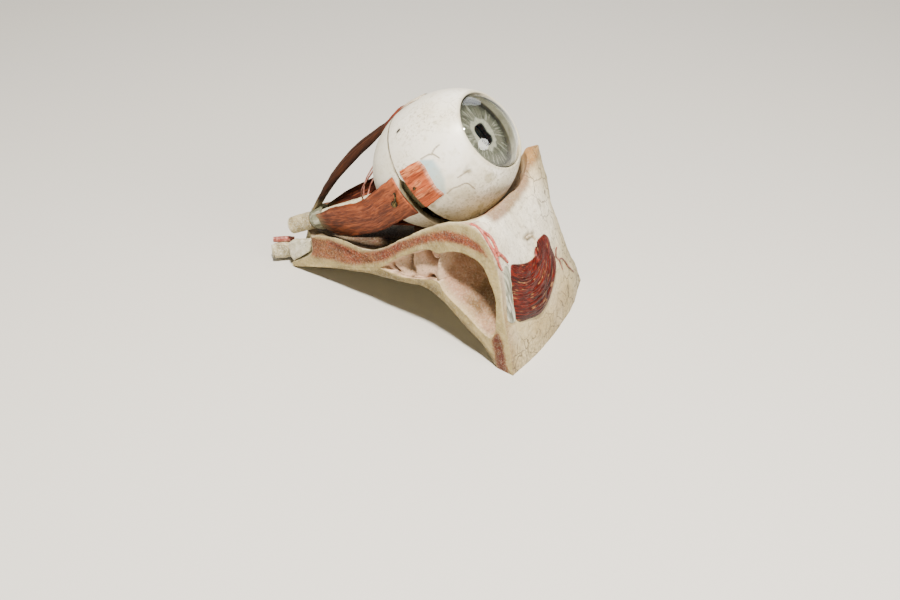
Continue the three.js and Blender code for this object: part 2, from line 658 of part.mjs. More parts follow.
function opticNerve() {
  return toGeometry(toSolid(tube(nerveLine, NERVE_RADIUS, NERVE_STEPS, NERVE_SIDES)).subtract(sheathSide));
}

function nerveSheath() {
  const length = nerveEnd.distanceTo(sheathEnd);
  const bore = length - SHEATH_BORE_DEPTH;
  const profile = [
    [0, SEAT_GAP],
    [SHEATH_RADIUS, SEAT_GAP],
    [SHEATH_RADIUS, length - SHEATH_EDGE],
    [SHEATH_RADIUS - SHEATH_EDGE, length],
    [SHEATH_BORE, length - SHEATH_EDGE / 2],
    [SHEATH_BORE_END, bore],
    [0, bore],
  ];
  return turned(profile, nerveEnd, sheathAxis, 20);
}

function tendonRing() {
  const half = TENDON_LENGTH / 2;
  const bore = NERVE_RADIUS + TENDON_BORE_GAP;
  const profile = [
    [bore, -half],
    [TENDON_RADIUS, -half],
    [TENDON_RADIUS, TENDON_TAPER_START],
    [TENDON_RADIUS - TENDON_TAPER, half],
    [bore, half],
  ];
  return toGeometry(toSolid(turned(profile, tendonMiddle, tendonAxis, 24)).subtract(sheathSide));
}

// A muscle strap: rings of a bent lens section, from the tendon ring to the eyeball, in the eye's axes.
// side is the direction out from the eye's axis to the muscle, across is along its width.
function strap(stations, side, across, sectionSides = 14) {
  const rings = stations.map(({ out, shift, z, halfWidth, halfThick, bend }) => {
    const ring = [];
    for (let i = 0; i < sectionSides; i += 1) {
      const angle = (2 * Math.PI * i) / sectionSides;
      const wide = Math.cos(angle);
      const x = halfWidth * wide;
      const high = Math.sin(angle);
      const thick = halfThick * Math.sign(high) * Math.abs(high) ** MUSCLE_SECTION_POWER;
      const drop = bend * x * x;
      ring.push(new THREE.Vector3(0, 0, z)
        .addScaledVector(side, out + thick - drop)
        .addScaledVector(across, shift + x));
    }
    return ring;
  });
  return toSolid(loft(rings));
}

const eyeClearance = toSolid(eyeSpheroid(SEAT_GAP));
const nerveClearance = toSolid(tube(nerveLine, NERVE_RADIUS + SEAT_GAP, NERVE_STEPS, NERVE_SIDES));

// Where the middle of a strap lies off the eye's axis, from the tendon ring forward. The bow pairs lift
// it off the straight line between its root and the place where it reaches the eyeball, and it never
// sinks into the eyeball's skin.
function strapPath({ side, across, bow, fat, width, shift, seamZ }) {
  const rootOut = tendonFront.dot(side) + NERVE_RADIUS + MUSCLE_HALF_THICKNESS / 2;
  const rootShift = tendonFront.dot(across);
  const rootZ = tendonFront.z - MUSCLE_ROOT_DEPTH;
  const onEye = (z) => spheroidRadius(EYE_RADIUS, EYE_HALF_LENGTH, z);
  const bend = 0.5 / EYE_RADIUS;
  const leavesZ = MUSCLE_LEAVES_POLE - EYE_HALF_LENGTH;
  const leavesOut = onEye(leavesZ) + MUSCLE_LEAVES_LIFT;
  const along = (start, pairs, full) => [[0, start], ...pairs.map(([t, part]) => [t, part * full])];
  const widths = along(MUSCLE_TENDON_HALF_WIDTH, MUSCLE_WIDENS, width);
  const thicknesses = along(MUSCLE_TENDON_HALF_THICKNESS, MUSCLE_THICKENS, fat);
  const stations = Array.from({ length: MUSCLE_STATIONS + 1 }, (_, i) => {
    const t = i / MUSCLE_STATIONS;
    const z = rootZ + (leavesZ - rootZ) * t;
    const bowed = rootOut + (leavesOut - rootOut) * t + smoothValue(bow, t);
    return {
      z,
      out: z > -EYE_HALF_LENGTH ? Math.max(bowed, onEye(z) + SEAT_GAP) : bowed,
      shift: rootShift + (shift - rootShift) * Math.min(1, t / MUSCLE_SWINGS_OVER),
      halfWidth: smoothValue(widths, t),
      halfThick: smoothValue(thicknesses, t),
      bend: bend * t * t,
    };
  });
  const z = seamZ - SEAT_GAP;
  const out = onEye(z) + MUSCLE_SEAM_LIFT;
  const halfWidth = width * MUSCLE_SEAM_SPREAD;
  return [...stations, { z, out, shift, halfWidth, halfThick: MUSCLE_SEAM_HALF_THICKNESS, bend }];
}

const MUSCLES = {
  superior_rectus: {
    side: new THREE.Vector3(1, 0, 0),
    across: new THREE.Vector3(0, 1, 0),
    bow: [[0, 2.5], [0.1, 4], [0.3, 4], [0.56, 5.8], [0.79, 2.8], [1, 0]],
    fat: MUSCLE_HALF_THICKNESS * 1.1,
    width: SUPERIOR_HALF_WIDTH,
    shift: SUPERIOR_OFFSET_Y,
    seamZ: SEAM_Z,
    patch: { startZ: SEAM_Z, endZ: 14, halfWidth: SUPERIOR_HALF_WIDTH, shift: SUPERIOR_OFFSET_Y },
  },
  lateral_rectus: {
    side: new THREE.Vector3(0, 1, 0),
    across: new THREE.Vector3(1, 0, 0),
    bow: [[0, 0], [0.5, 2], [1, 0]],
    fat: MUSCLE_HALF_THICKNESS,
    width: MUSCLE_BELLY_HALF_WIDTH,
    shift: -1,
    seamZ: seamBackZ,
    patch: { startZ: seamFrontZ, endZ: MUSCLE_INSERTION_Z, halfWidth: MUSCLE_SEAM_HALF_WIDTH, shift: -0.8 },
  },
  inferior_rectus: {
    side: new THREE.Vector3(-1, 0, 0),
    across: new THREE.Vector3(0, 1, 0),
    bow: [[0, 0], [0.5, -4], [1, 0]],
    fat: MUSCLE_HALF_THICKNESS * 0.7,
    width: MUSCLE_BELLY_HALF_WIDTH * 0.8,
    shift: 0,
    seamZ: seamBackZ,
    patch: { startZ: seamFrontZ, endZ: 14, halfWidth: MUSCLE_BELLY_HALF_WIDTH * 0.86, shift: 0 },
  },
  medial_rectus: {
    side: new THREE.Vector3(0, -1, 0),
    across: new THREE.Vector3(1, 0, 0),
    bow: [[0, 0], [0.5, 1], [1, 0]],
    fat: MUSCLE_HALF_THICKNESS * 0.9,
    width: MUSCLE_BELLY_HALF_WIDTH * 0.9,
    shift: 2,
    seamZ: seamBackZ,
    patch: { startZ: seamFrontZ, endZ: 15, halfWidth: MUSCLE_BELLY_HALF_WIDTH * 0.94, shift: 2 },
  },
};

function muscleSolid(name) {
  const { side, across } = MUSCLES[name];
  const whole = strap(strapPath(MUSCLES[name]), side, across);
  return whole.subtract(eyeClearance).subtract(nerveClearance).subtract(tendonSide);
}

// The front end of a muscle on the front half: a low patch that follows the eyeball.
function insertion(name) {
  const { side, across, patch } = MUSCLES[name];
  const startZ = patch.startZ + SEAT_GAP;
  const columns = MUSCLE_INSERTION_COLUMNS;
  const rings = MUSCLE_INSERTION_ROWS.map((t) => {
    const z = startZ + (patch.endZ - startZ) * t;
    const radius = spheroidRadius(EYE_RADIUS, EYE_HALF_LENGTH, z);
    const relief = MUSCLE_INSERTION_RELIEF * (1 - MUSCLE_INSERTION_THINS * t);
    const halfWidth = patch.halfWidth * (1 - MUSCLE_INSERTION_NARROWS * t);
    const row = (r) => Array.from({ length: columns + 1 }, (_, i) => {
      const w = patch.shift + halfWidth * ((2 * i) / columns - 1);
      const out = Math.sqrt(r * r - w * w);
      return new THREE.Vector3(0, 0, z).addScaledVector(side, out).addScaledVector(across, w);
    });
    return [...row(radius + SEAT_GAP + relief), ...row(radius - MUSCLE_INSERTION_DEPTH).reverse()];
  });
  return toGeometry(toSolid(loft(rings)).subtract(eyeClearance));
}

// Nerve thread that arches from the side of the optic nerve to the back of the eyeball.
function ciliaryNerve([angle, x, y]) {
  const depth = EYE_HALF_LENGTH + CILIARY_NERVE_START;
  const nerveX = smoothValue(nerveLine.map((p) => [-p.z, p.x]), depth);
  const nerveY = smoothValue(nerveLine.map((p) => [-p.z, p.y]), depth);
  const outward = new THREE.Vector3(Math.cos(degrees(angle)), Math.sin(degrees(angle)), 0);
  const start = new THREE.Vector3(nerveX, nerveY, -depth)
    .addScaledVector(outward, NERVE_RADIUS + 2 * SEAT_GAP + CILIARY_NERVE_RADIUS);
  const skinZ = spheroidRadius(EYE_HALF_LENGTH, EYE_RADIUS, Math.hypot(x, y));
  const end = new THREE.Vector3(x, y, -skinZ - SEAT_GAP - CILIARY_NERVE_RADIUS);
  const middle = start.clone().lerp(end, 0.5);
  middle.z -= CILIARY_NERVE_SLACK;
  const thread = toSolid(tube([start, middle, end], CILIARY_NERVE_RADIUS, 8, 6));
  return toGeometry(thread.subtract(eyeClearance).subtract(nerveClearance));
}

// Place and slope of a muscle's skin over the middle of the strap.
function strapSkin(name, z) {
  const height = strapPath(MUSCLES[name]).map((station) => [station.z, station.out + station.halfThick]);
  const step = 1;
  const out = smoothValue(height, z);
  const slope = (smoothValue(height, z + step) - smoothValue(height, z - step)) / (2 * step);
  return { out, slope };
}

// The hook's own axes: x runs down the eye, y forward along the muscle and z out through the screw.
const hookSkin = strapSkin('lateral_rectus', HOOK_PLACE[1]);
const hookAxis = new THREE.Vector3(0, 1, -hookSkin.slope).normalize();
const hookDown = new THREE.Vector3(-1, 0, 0);
const hookForward = new THREE.Vector3().crossVectors(hookAxis, hookDown);
const hookPlace = new THREE.Vector3(HOOK_PLACE[0], hookSkin.out, HOOK_PLACE[1])
  .addScaledVector(hookAxis, HOOK_SEAT + HOOK_WIRE);
const hookFrame = new THREE.Matrix4().makeBasis(hookDown, hookForward, hookAxis).setPosition(hookPlace)
  .multiply(new THREE.Matrix4().makeRotationZ(degrees(HOOK_TURN)));

function hookScrew() {
  const head = HOOK_WIRE + SEAT_GAP;
  const shank = HOOK_SCREW_SHANK;
  const depth = HOOK_SCREW_DEPTH;
  const radius = HOOK_SCREW_RADIUS;
  const profile = [
    [0, -depth],
    [shank, HOOK_SCREW_POINT - depth],
    [shank, head],
    [radius, head],
    [radius * 0.8, head + HOOK_SCREW_HEAD * 0.75],
    [0, head + HOOK_SCREW_HEAD],
  ];
  return turned(profile, hookPlace, hookAxis, 12);
}

function screwHole() {
  const radius = HOOK_SCREW_SHANK + SEAT_GAP;
  const reach = 2 * HOOK_SCREW_DEPTH;
  const profile = [[0, -reach], [radius, -reach], [radius, reach], [0, reach]];
  return toSolid(turned(profile, hookPlace, hookAxis, 12));
}

// Wire hook: an eye round the screw, a straight shank and a turned-in tip.
function hook() {
  const ringRadius = HOOK_SCREW_SHANK + SEAT_GAP + HOOK_WIRE;
  const ring = new THREE.TorusGeometry(ringRadius, HOOK_WIRE, 6, 12);
  const line = [[0, ringRadius], [-0.4, HOOK_LENGTH * 0.5], [-1.6, HOOK_LENGTH * 0.86], [-2.6, HOOK_LENGTH],
    [-3.3, HOOK_LENGTH * 0.84]];
  const shank = tube(line.map(([x, y]) => new THREE.Vector3(x, y, 0)), HOOK_WIRE, 8, 6);
  return toGeometry(toSolid(ring).add(toSolid(shank))).applyMatrix4(hookFrame);
}

function catchPin() {
  const [x, z] = CATCH_PLACE;
  const out = spheroidRadius(EYE_RADIUS, EYE_HALF_LENGTH, z) + 2 * SEAT_GAP + MUSCLE_INSERTION_RELIEF;
  const radius = CATCH_RADIUS;
  const profile = [[0, 0], [radius, 0], [radius, radius * 0.5], [radius * 0.6, radius], [0, radius * 1.1]];
  return turned(profile, new THREE.Vector3(x, out, z), new THREE.Vector3(0, 1, 0), 12);
}

// Base: upright plane at a share of the way from the temple-side cut to the nose-side cut.
function basePlane(share) {
  const step = FOOT_LINE.map(([x, y], i) => [i / (FOOT_LINE.length - 1), x, y]);
  const foot = new THREE.Vector2(
    smoothValue(step.map(([t, x]) => [t, x]), share),
    smoothValue(step.map(([t, , y]) => [t, y]), share),
  );
  const back = new THREE.Vector2(...BACK_LINE[0]).lerp(new THREE.Vector2(...BACK_LINE[1]), share);
  return { foot, along: back.sub(foot).normalize() };
}

// One point list of the base's outlines, blended between the key planes.
function blended(list, share) {
  const count = BASE_OUTLINES[0][list].length;
  return Array.from({ length: count }, (_, i) => [0, 1].map((axis) => (
    smoothValue(BASE_OUTLINES.map((outline) => [outline.share, outline[list][i][axis]]), share))));
}

function splineThrough(points, divisions) {
  return new THREE.SplineCurve(points.map(([s, z]) => new THREE.Vector2(s, z))).getPoints(divisions);
}

// Puts a point of an outline, as distance from the foot and height, in its upright plane.
function onPlane({ foot, along }, share, s, z) {
  const [near, fade] = NOSTRIL_REACH;
  const inward = Math.max(0, (share - NOSTRIL_STARTS) / (1 - NOSTRIL_STARTS)) ** 2;
  const draw = smoothValue(NOSTRIL_DEPTH, z) * inward * Math.exp(-Math.max(0, s - near) / fade);
  return new THREE.Vector3(foot.x + along.x * s, foot.y + along.y * s - draw, z);
}

function baseOutline(share) {
  const [face, top, end] = ['face', 'top', 'end'].map((list) => (
    splineThrough(blended(list, share), BASE_DIVISIONS[list])));
  const lift = smoothValue(BASE_OUTLINES.map((outline) => [outline.share, outline.arch]), share);
  const backEnd = end[end.length - 1].x;
  const archScale = (backEnd - FOOT_WIDTH) / (BASE_ARCH[0][0] - FOOT_WIDTH);
  const archLine = BASE_ARCH.map(([s, z]) => [FOOT_WIDTH + (s - FOOT_WIDTH) * archScale, z * lift]);
  const arch = splineThrough(archLine, BASE_DIVISIONS.arch);
  return [...face.slice(0, -1), ...top.slice(0, -1), ...end, ...arch];
}

function baseRing(share) {
  const plane = basePlane(share);
  return baseOutline(share).map((p) => onPlane(plane, share, p.x, p.y));
}

function sinusRing({ share, size, centre }) {
  const plane = basePlane(share);
  const [middleS, middleZ] = SINUS_PATH[0].centre;
  return SINUS_OUTLINE.map(([s, z]) => (
    onPlane(plane, share, centre[0] + (s - middleS) * size, centre[1] + (z - middleZ) * size)));
}

// Rod that clears a piece of the nerve: from one distance along its direction to another.
function rod(radius, from, to, middle, direction, sides) {
  const profile = [[0, from], [radius, from], [radius, to], [0, to]];
  return toSolid(turned(profile, middle, direction, sides).applyMatrix4(eyeFrame));
}

const sheathSeat = SHEATH_RADIUS + SEAT_GAP;
const sheathClearance = rod(sheathSeat, -SHEATH_SEAT_START, SHEATH_SEAT_LENGTH, nerveEnd, sheathAxis, 20);
const tendonSeat = TENDON_RADIUS + TENDON_SEAT_GAP;
const tendonReach = TENDON_LENGTH / 2 + TENDON_SEAT_GAP;
const tendonClearance = rod(tendonSeat, -tendonReach, tendonReach, tendonMiddle, tendonAxis, 24);
const socket = toSolid(eyeSpheroid(SOCKET_GAP).applyMatrix4(eyeFrame));

function baseSolid() {
  const rings = Array.from({ length: BASE_STATIONS + 1 }, (_, i) => baseRing(i / BASE_STATIONS));
  const block = toSolid(loft(rings));
  const hollow = toSolid(loft(SINUS_PATH.map(sinusRing)));
  return block.subtract(hollow).subtract(socket).subtract(sheathClearance).subtract(tendonClearance);
}

const base = baseSolid();

// Cuts a piece that lies on the base to the base's own surface, moved by the seating gap along a direction.
function seatedOnBase(solid, direction, gap = SEAT_GAP) {
  const shift = direction.clone().normalize().multiplyScalar(gap);
  return solid.subtract(base.translate(shift.toArray()));
}

// Point on the face of the base at a distance towards the nose and a height, lifted off the surface.
const faceNormal = new THREE.Vector3(0.955, -0.082, 0.285).normalize();
const footStart = FOOT_LINE[0][1];
const footSpan = FOOT_LINE[FOOT_LINE.length - 1][1] - footStart;

function facePoint([y, z], lift) {
  let share = (y - footStart) / footSpan;
  let place = new THREE.Vector3();
  for (let i = 0; i < 6; i += 1) {
    const plane = basePlane(share);
    const face = splineThrough(blended('face', share), 40);
    const hit = face.findIndex((p) => p.y >= z);
    const k = Math.max(1, hit === -1 ? face.length - 1 : hit);
    const t = THREE.MathUtils.clamp((z - face[k - 1].y) / (face[k].y - face[k - 1].y), 0, 1);
    const s = face[k - 1].x + (face[k].x - face[k - 1].x) * t;
    place = onPlane(plane, share, s, z);
    share = THREE.MathUtils.clamp(share + (y - place.y) / footSpan, 0, 1);
  }
  return place.addScaledVector(faceNormal, lift);
}

// Domed pad on the face, cut to the bone under it.
function facePad(corners, [middleY, middleZ], relief) {
  const line = corners.map(([y, z]) => new THREE.Vector3(0, y, z));
  const curve = new THREE.CatmullRomCurve3(line, true, 'centripetal');
  const outline = curve.getPoints(FACE_PAD_CORNERS).slice(0, -1);
  const levels = [[1, -FACE_PAD_ROOT], ...FACE_PAD_LEVELS.map(([scale, part]) => [scale, part * relief])];
  const rings = levels.map(([scale, lift]) => outline.map((p) => (
    facePoint([middleY + (p.y - middleY) * scale, middleZ + (p.z - middleZ) * scale], lift))));
  return seatedOnBase(toSolid(loft(rings)), faceNormal);
}

const faceMuscle = facePad(FACE_MUSCLE, FACE_MUSCLE_CENTRE, FACE_MUSCLE_RELIEF);

// Clears a solid from another by the seating gap on the given sides.
function clearOf(solid, other, sides) {
  return sides.reduce((left, side) => left.subtract(other.translate(side.map((v) => v * SEAT_GAP))), solid);
}

const aroundFace = [[0, 0, 0], [1, 0, 0.3], [0, 0, 1], [0, 0, -1], [0, 1, 0], [0, -1, 0]];
const tendonPad = facePad(FACE_TENDON, FACE_TENDON_CENTRE, FACE_TENDON_RELIEF);
const faceTendon = clearOf(tendonPad, faceMuscle, aroundFace);

// Branching cord on the face: its lines share their meeting points.
function faceCord(lines, radius) {
  const lift = radius * 0.8;
  const solids = lines.map((line) => toSolid(tube(line.map((p) => facePoint(p, lift)), radius, 8, 6)));
  const cord = seatedOnBase(wasm.Manifold.union(solids), faceNormal);
  return toGeometry(clearOf(clearOf(cord, faceMuscle, aroundFace), faceTendon, aroundFace));
}

// Square-cut nerve stump in the notch of the temple-side cut.
function stumpBlock() {
  const rows = [[0.9, 0], [1, 1.2], [1, STUMP_BLOCK_DEPTH - 3], [0.8, STUMP_BLOCK_DEPTH]];
  const count = STUMP_BLOCK.length;
  const middle = STUMP_BLOCK.reduce(([s, z], p) => [s + p[0] / count, z + p[1] / count], [0, 0]);
  const plane = basePlane(0);
  const inward = new THREE.Vector3(-plane.along.y, plane.along.x, 0).multiplyScalar(-1);
  const rings = rows.map(([scale, depth]) => STUMP_BLOCK.map(([s, z]) => {
    const p = onPlane(plane, 0, middle[0] + (s - middle[0]) * scale, middle[1] + (z - middle[1]) * scale);
    return p.addScaledVector(inward, depth);
  }));
  const solid = toSolid(loft(rings)).subtract(sheathClearance);
  return seatedOnBase(seatedOnBase(solid, new THREE.Vector3(-1, 0, 0)), new THREE.Vector3(0, 0, 1));
}

const blockSolid = stumpBlock();

function roundStump() {
  const stump = toSolid(tube(ROUND_STUMP.map(point), ROUND_STUMP_RADIUS, 6, 14));
  const clear = clearOf(stump, blockSolid, [[0, 0, 0], [-1, 1, 0]]);
  return seatedOnBase(clear, new THREE.Vector3(-1, 0, 0.2));
}

const roundStumpSolid = roundStump();

function arteryStump() {
  const stump = toSolid(tube(ARTERY_STUMP.map(point), ARTERY_STUMP_RADIUS, 6, 8)).subtract(sheathClearance);
  const clear = clearOf(clearOf(stump, roundStumpSolid, [[0, 0, 1]]), blockSolid, [[0, 1, 1]]);
  return seatedOnBase(clear, new THREE.Vector3(0, 0, 1));
}

// Fat pad on the floor of the orbit: the eyeball rests on it.
function fatPad() {
  const eyeDrop = Math.hypot(EYE_HALF_LENGTH * eyeAxis.z, EYE_RADIUS * Math.hypot(eyeAxis.x, eyeAxis.y));
  const [offsetX, offsetY] = FAT_PAD_OFFSET;
  const middle = EYE_CENTRE.clone().add(new THREE.Vector3(offsetX, offsetY, -eyeDrop - FAT_PAD_DROP));
  const pad = new THREE.SphereGeometry(1, 14, 8).scale(...FAT_PAD_SIZE).translate(...middle.toArray());
  const eyeball = toSolid(eyeSpheroid(SEAT_GAP).applyMatrix4(eyeFrame));
  const { side, across } = MUSCLES.inferior_rectus;
  const belly = strap(strapPath(MUSCLES.inferior_rectus), side, across);
  const muscle = toSolid(toGeometry(belly).applyMatrix4(eyeFrame));
  const around = [[0, 0, 0], [0, 0, -1], [1, 0, 0], [-1, 0, 0], [0, 1, 0], [0, -1, 0]];
  const clear = clearOf(toSolid(pad).subtract(eyeball), muscle, around);
  return toGeometry(seatedOnBase(clear, new THREE.Vector3(0, 0, 1)));
}

const COLOURS = {
  bone: [0xd8cfae, 0.75, 0],
  muscle: [0xa8452e, 0.7, 0],
  faceMuscle: [0x8f2a1e, 0.5, 0],
  artery: [0xa83c34, 0.55, 0],
  nerve: [0xd9d3b8, 0.65, 0],
  sclera: [0xe9e3d3, 0.45, 0],
  choroid: [0x4a2018, 0.7, 0],
  retina: [0xd89a5a, 0.6, 0],
  card: [0x9a9570, 0.85, 0],
  tendon: [0xb4b7a6, 0.6, 0],
  glass: [0xdfeef2, 0.06, 0],
  iris: [0x6f6c58, 0.5, 0],
  brass: [0x6b5a34, 0.45, 0.9],
  fat: [0xcfc4a0, 0.8, 0],
};

const model = new THREE.Group();
const eye = new THREE.Group();
eye.applyMatrix4(eyeFrame);
model.add(eye);

function place(group, name, geometry, colour) {
  const [color, roughness, metalness] = COLOURS[colour];
  const mesh = new THREE.Mesh(geometry, new THREE.MeshStandardMaterial({ color, roughness, metalness }));
  mesh.name = name;
  group.add(mesh);
}

place(model, 'orbit_bone', toGeometry(base), 'bone');
place(model, 'face_muscle', toGeometry(faceMuscle), 'faceMuscle');
place(model, 'face_tendon', toGeometry(faceTendon), 'tendon');
place(model, 'face_nerve', faceCord([FACE_NERVE], FACE_NERVE_RADIUS), 'nerve');
place(model, 'face_artery', faceCord(FACE_ARTERY, FACE_ARTERY_RADIUS), 'artery');
place(model, 'face_veins', faceCord(FACE_VEINS, FACE_VEIN_RADIUS), 'artery');
place(model, 'nerve_stump', toGeometry(blockSolid), 'nerve');
place(model, 'round_stump', toGeometry(roundStumpSolid), 'nerve');
place(model, 'artery_stump', toGeometry(arteryStump()), 'artery');
place(model, 'fat_pad', fatPad(), 'fat');

place(eye, 'sclera_back', scleraBack(), 'sclera');
place(eye, 'choroid_back', choroidBack(), 'choroid');
place(eye, 'retina_back', retinaBack(), 'retina');
place(eye, 'locating_collar', collar(), 'card');
place(eye, 'optic_nerve', opticNerve(), 'nerve');
place(eye, 'nerve_sheath', nerveSheath(), 'nerve');
place(eye, 'tendon_ring', tendonRing(), 'tendon');
place(eye, 'superior_rectus', toGeometry(muscleSolid('superior_rectus')), 'muscle');
place(eye, 'lateral_rectus', toGeometry(muscleSolid('lateral_rectus').subtract(screwHole())), 'muscle');
place(eye, 'inferior_rectus', toGeometry(muscleSolid('inferior_rectus')), 'muscle');
place(eye, 'medial_rectus', toGeometry(muscleSolid('medial_rectus')), 'muscle');
CILIARY_NERVES.forEach((thread, i) => place(eye, `ciliary_nerve_${i + 1}`, ciliaryNerve(thread), 'artery'));
place(eye, 'hook_screw', hookScrew(), 'brass');
place(eye, 'hook', hook(), 'brass');

place(eye, 'sclera_front', scleraFront(), 'sclera');
place(eye, 'choroid_front', choroidFront(), 'choroid');
place(eye, 'ciliary_ring', ciliaryRing(), 'choroid');
place(eye, 'iris', iris(), 'iris');
place(eye, 'cornea', cornea(), 'glass');
place(eye, 'superior_insertion', insertion('superior_rectus'), 'muscle');
place(eye, 'lateral_insertion', insertion('lateral_rectus'), 'muscle');
place(eye, 'inferior_insertion', insertion('inferior_rectus'), 'muscle');
place(eye, 'medial_insertion', insertion('medial_rectus'), 'muscle');
place(eye, 'catch_pin', catchPin(), 'brass');
place(eye, 'vitreous_body', vitreous(), 'glass');
place(eye, 'lens', lens(), 'glass');

export default model;
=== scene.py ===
# %% [markdown]
# # An eye in its orbit
# The object is a teaching model of painted papier-mâché: a right eye, about five times life size, in a
# cut block of cheek bone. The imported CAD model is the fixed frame. Every piece below stands for a CAD
# node and moves with its body. All lengths here are in millimetres and become metres only when a mesh
# is made, because that is how the maker would measure.

import functools
import math

import bpy
import numpy as np
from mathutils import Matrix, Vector
from mathutils.bvhtree import BVHTree


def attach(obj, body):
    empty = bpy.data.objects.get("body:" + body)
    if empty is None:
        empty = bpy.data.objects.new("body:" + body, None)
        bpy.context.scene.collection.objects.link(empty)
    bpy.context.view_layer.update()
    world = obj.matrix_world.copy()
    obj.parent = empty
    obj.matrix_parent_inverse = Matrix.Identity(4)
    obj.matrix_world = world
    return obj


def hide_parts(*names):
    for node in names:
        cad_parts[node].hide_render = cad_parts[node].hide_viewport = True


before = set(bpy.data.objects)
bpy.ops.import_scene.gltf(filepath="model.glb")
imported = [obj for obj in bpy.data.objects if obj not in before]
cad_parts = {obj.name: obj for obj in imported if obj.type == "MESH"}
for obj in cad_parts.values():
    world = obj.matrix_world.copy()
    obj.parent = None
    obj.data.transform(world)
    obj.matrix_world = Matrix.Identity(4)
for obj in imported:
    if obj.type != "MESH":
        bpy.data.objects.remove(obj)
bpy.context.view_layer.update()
MM = 0.001

# %% [markdown]
# ## Camera, floor and light
# The photograph looks down on the model from its temple side with a long lens. A long lens keeps the
# near and the far edge of the bone almost the same size. The camera stays where it was worked out to
# have stood: 18 degrees round to the front and 31 degrees up, about 1.4 metres away.

# %% Camera
def put(name, data, place, turn=(0, 0, 0)):
    """New object in the scene at a place in mm, turned by angles."""
    thing = bpy.data.objects.new(name, data)
    thing.location = np.array(place) * MM
    thing.rotation_euler = turn
    bpy.context.scene.collection.objects.link(thing)
    return thing


lens = bpy.data.cameras.new("camera")
lens.lens, lens.sensor_width = 70, 36
CAMERA_PLACE, CAMERA_RISE, CAMERA_ROUND = (301.7, -1209.3, 771.9), math.radians(31), math.radians(18)
bpy.context.scene.camera = put("camera", lens, CAMERA_PLACE, (math.pi / 2 - CAMERA_RISE, 0, CAMERA_ROUND))
print("camera at", CAMERA_PLACE, "mm, lens", lens.lens)

# %% [markdown]
# A warm soft light high above the camera gives the bright cap on the eyeball and leaves the hollows
# dark. A weaker one from the right lights the face of the bone, and the plain pale floor returns a
# little light from below.

# %% Lights
def soft_light(name, place, size, watts, colour, aim=(-110, 0, 80)):
    """Round lamp of a width in mm at a place, turned to face the aim point."""
    lamp = bpy.data.lights.new(name, "AREA")
    lamp.shape, lamp.size = "DISK", size * MM
    lamp.energy, lamp.color = watts, colour
    x, y, z = (np.array(place, float) - np.array(aim, float)) * MM
    put(name, lamp, place, (math.atan2(math.hypot(x, y), z), 0, math.atan2(x, -y)))


soft_light("key_light", (60, -600, 1480), 190, 74, (1.0, 0.94, 0.85))
soft_light("fill_light", (900, -450, 650), 500, 8, (1.0, 0.96, 0.9))
soft_light("back_light", (-300, 900, 900), 700, 3, (0.95, 0.97, 1.0))
world = bpy.data.worlds.new("studio")
world.use_nodes = True
world.node_tree.nodes["Background"].inputs["Color"].default_value = (0.86, 0.85, 0.83, 1)
world.node_tree.nodes["Background"].inputs["Strength"].default_value = 0.15
bpy.context.scene.world = world
print(len(bpy.data.lights), "lights")

# %% [markdown]
# ## Numbers into shapes
# A shape here is a function of two parameters, worked out on a grid as whole numpy arrays. The helpers
# below turn such a grid into a closed mesh. Points that fall on each other are welded by rounding their
# coordinates, so seams and poles close by themselves.

# %% Smooth lines and values
def flow(knots, values, x):
    """Smooth value at x: between two knots a cubic, whose slope at each is that of the chord past it."""
    knots, values, x = (np.asarray(a, float) for a in (knots, values, x))
    last = len(knots) - 1
    i = np.clip(np.searchsorted(knots, x, side="left") - 1, 0, last - 1)
    before, after = np.maximum(i - 1, 0), np.minimum(i + 2, last)

    def wide(a):
        return a.reshape(a.shape + (1,) * (values.ndim - 1))

    def slope(a, b):
        return (values[b] - values[a]) / wide(knots[b] - knots[a])

    gap = wide(knots[i + 1] - knots[i])
    t = wide(np.clip((x - knots[i]) / (knots[i + 1] - knots[i]), 0, 1))
    rise = (values[i + 1] - values[i]) * t * t * (3 - 2 * t)
    return values[i] + rise + gap * (slope(before, i + 1) * t * (1 - t) ** 2 - slope(i, after) * t * t * (1 - t))


def through(points, count):
    """Catmull-Rom line through rows of points: count places, evenly spaced by point number."""
    points = np.asarray(points, float)
    n = points.shape[-2]
    t = np.linspace(0, n - 1, count)
    i = np.minimum(t.astype(int), n - 2)
    f = (t - i)[:, None]
    a, b, c, d = (points[..., np.clip(i + k, 0, n - 1), :] for k in (-1, 0, 1, 2))
    v0, v1 = (c - a) / 2, (d - b) / 2
    return ((2 * b - 2 * c + v0 + v1) * f + (3 * c - 3 * b - 2 * v0 - v1)) * f * f + v0 * f + b


def spread(line, count):
    """The same line with count points, evenly spaced by length."""
    line = np.asarray(line, float)
    length = np.concatenate([[0], np.cumsum(np.linalg.norm(np.diff(line, axis=0), axis=1))])
    at = np.linspace(0, length[-1], count)
    return np.stack([np.interp(at, length, column) for column in line.T], axis=1)


def ease(low, high, x):
    """0 below low, 1 above high, and a smooth step between."""
    t = np.clip((np.asarray(x, float) - low) / (high - low), 0, 1)
    return t * t * (3 - 2 * t)


def bell(x):
    """Bell curve: 1 at zero, falling smoothly to about a third at 1 and to nothing past 2."""
    return np.exp(-(x**2))


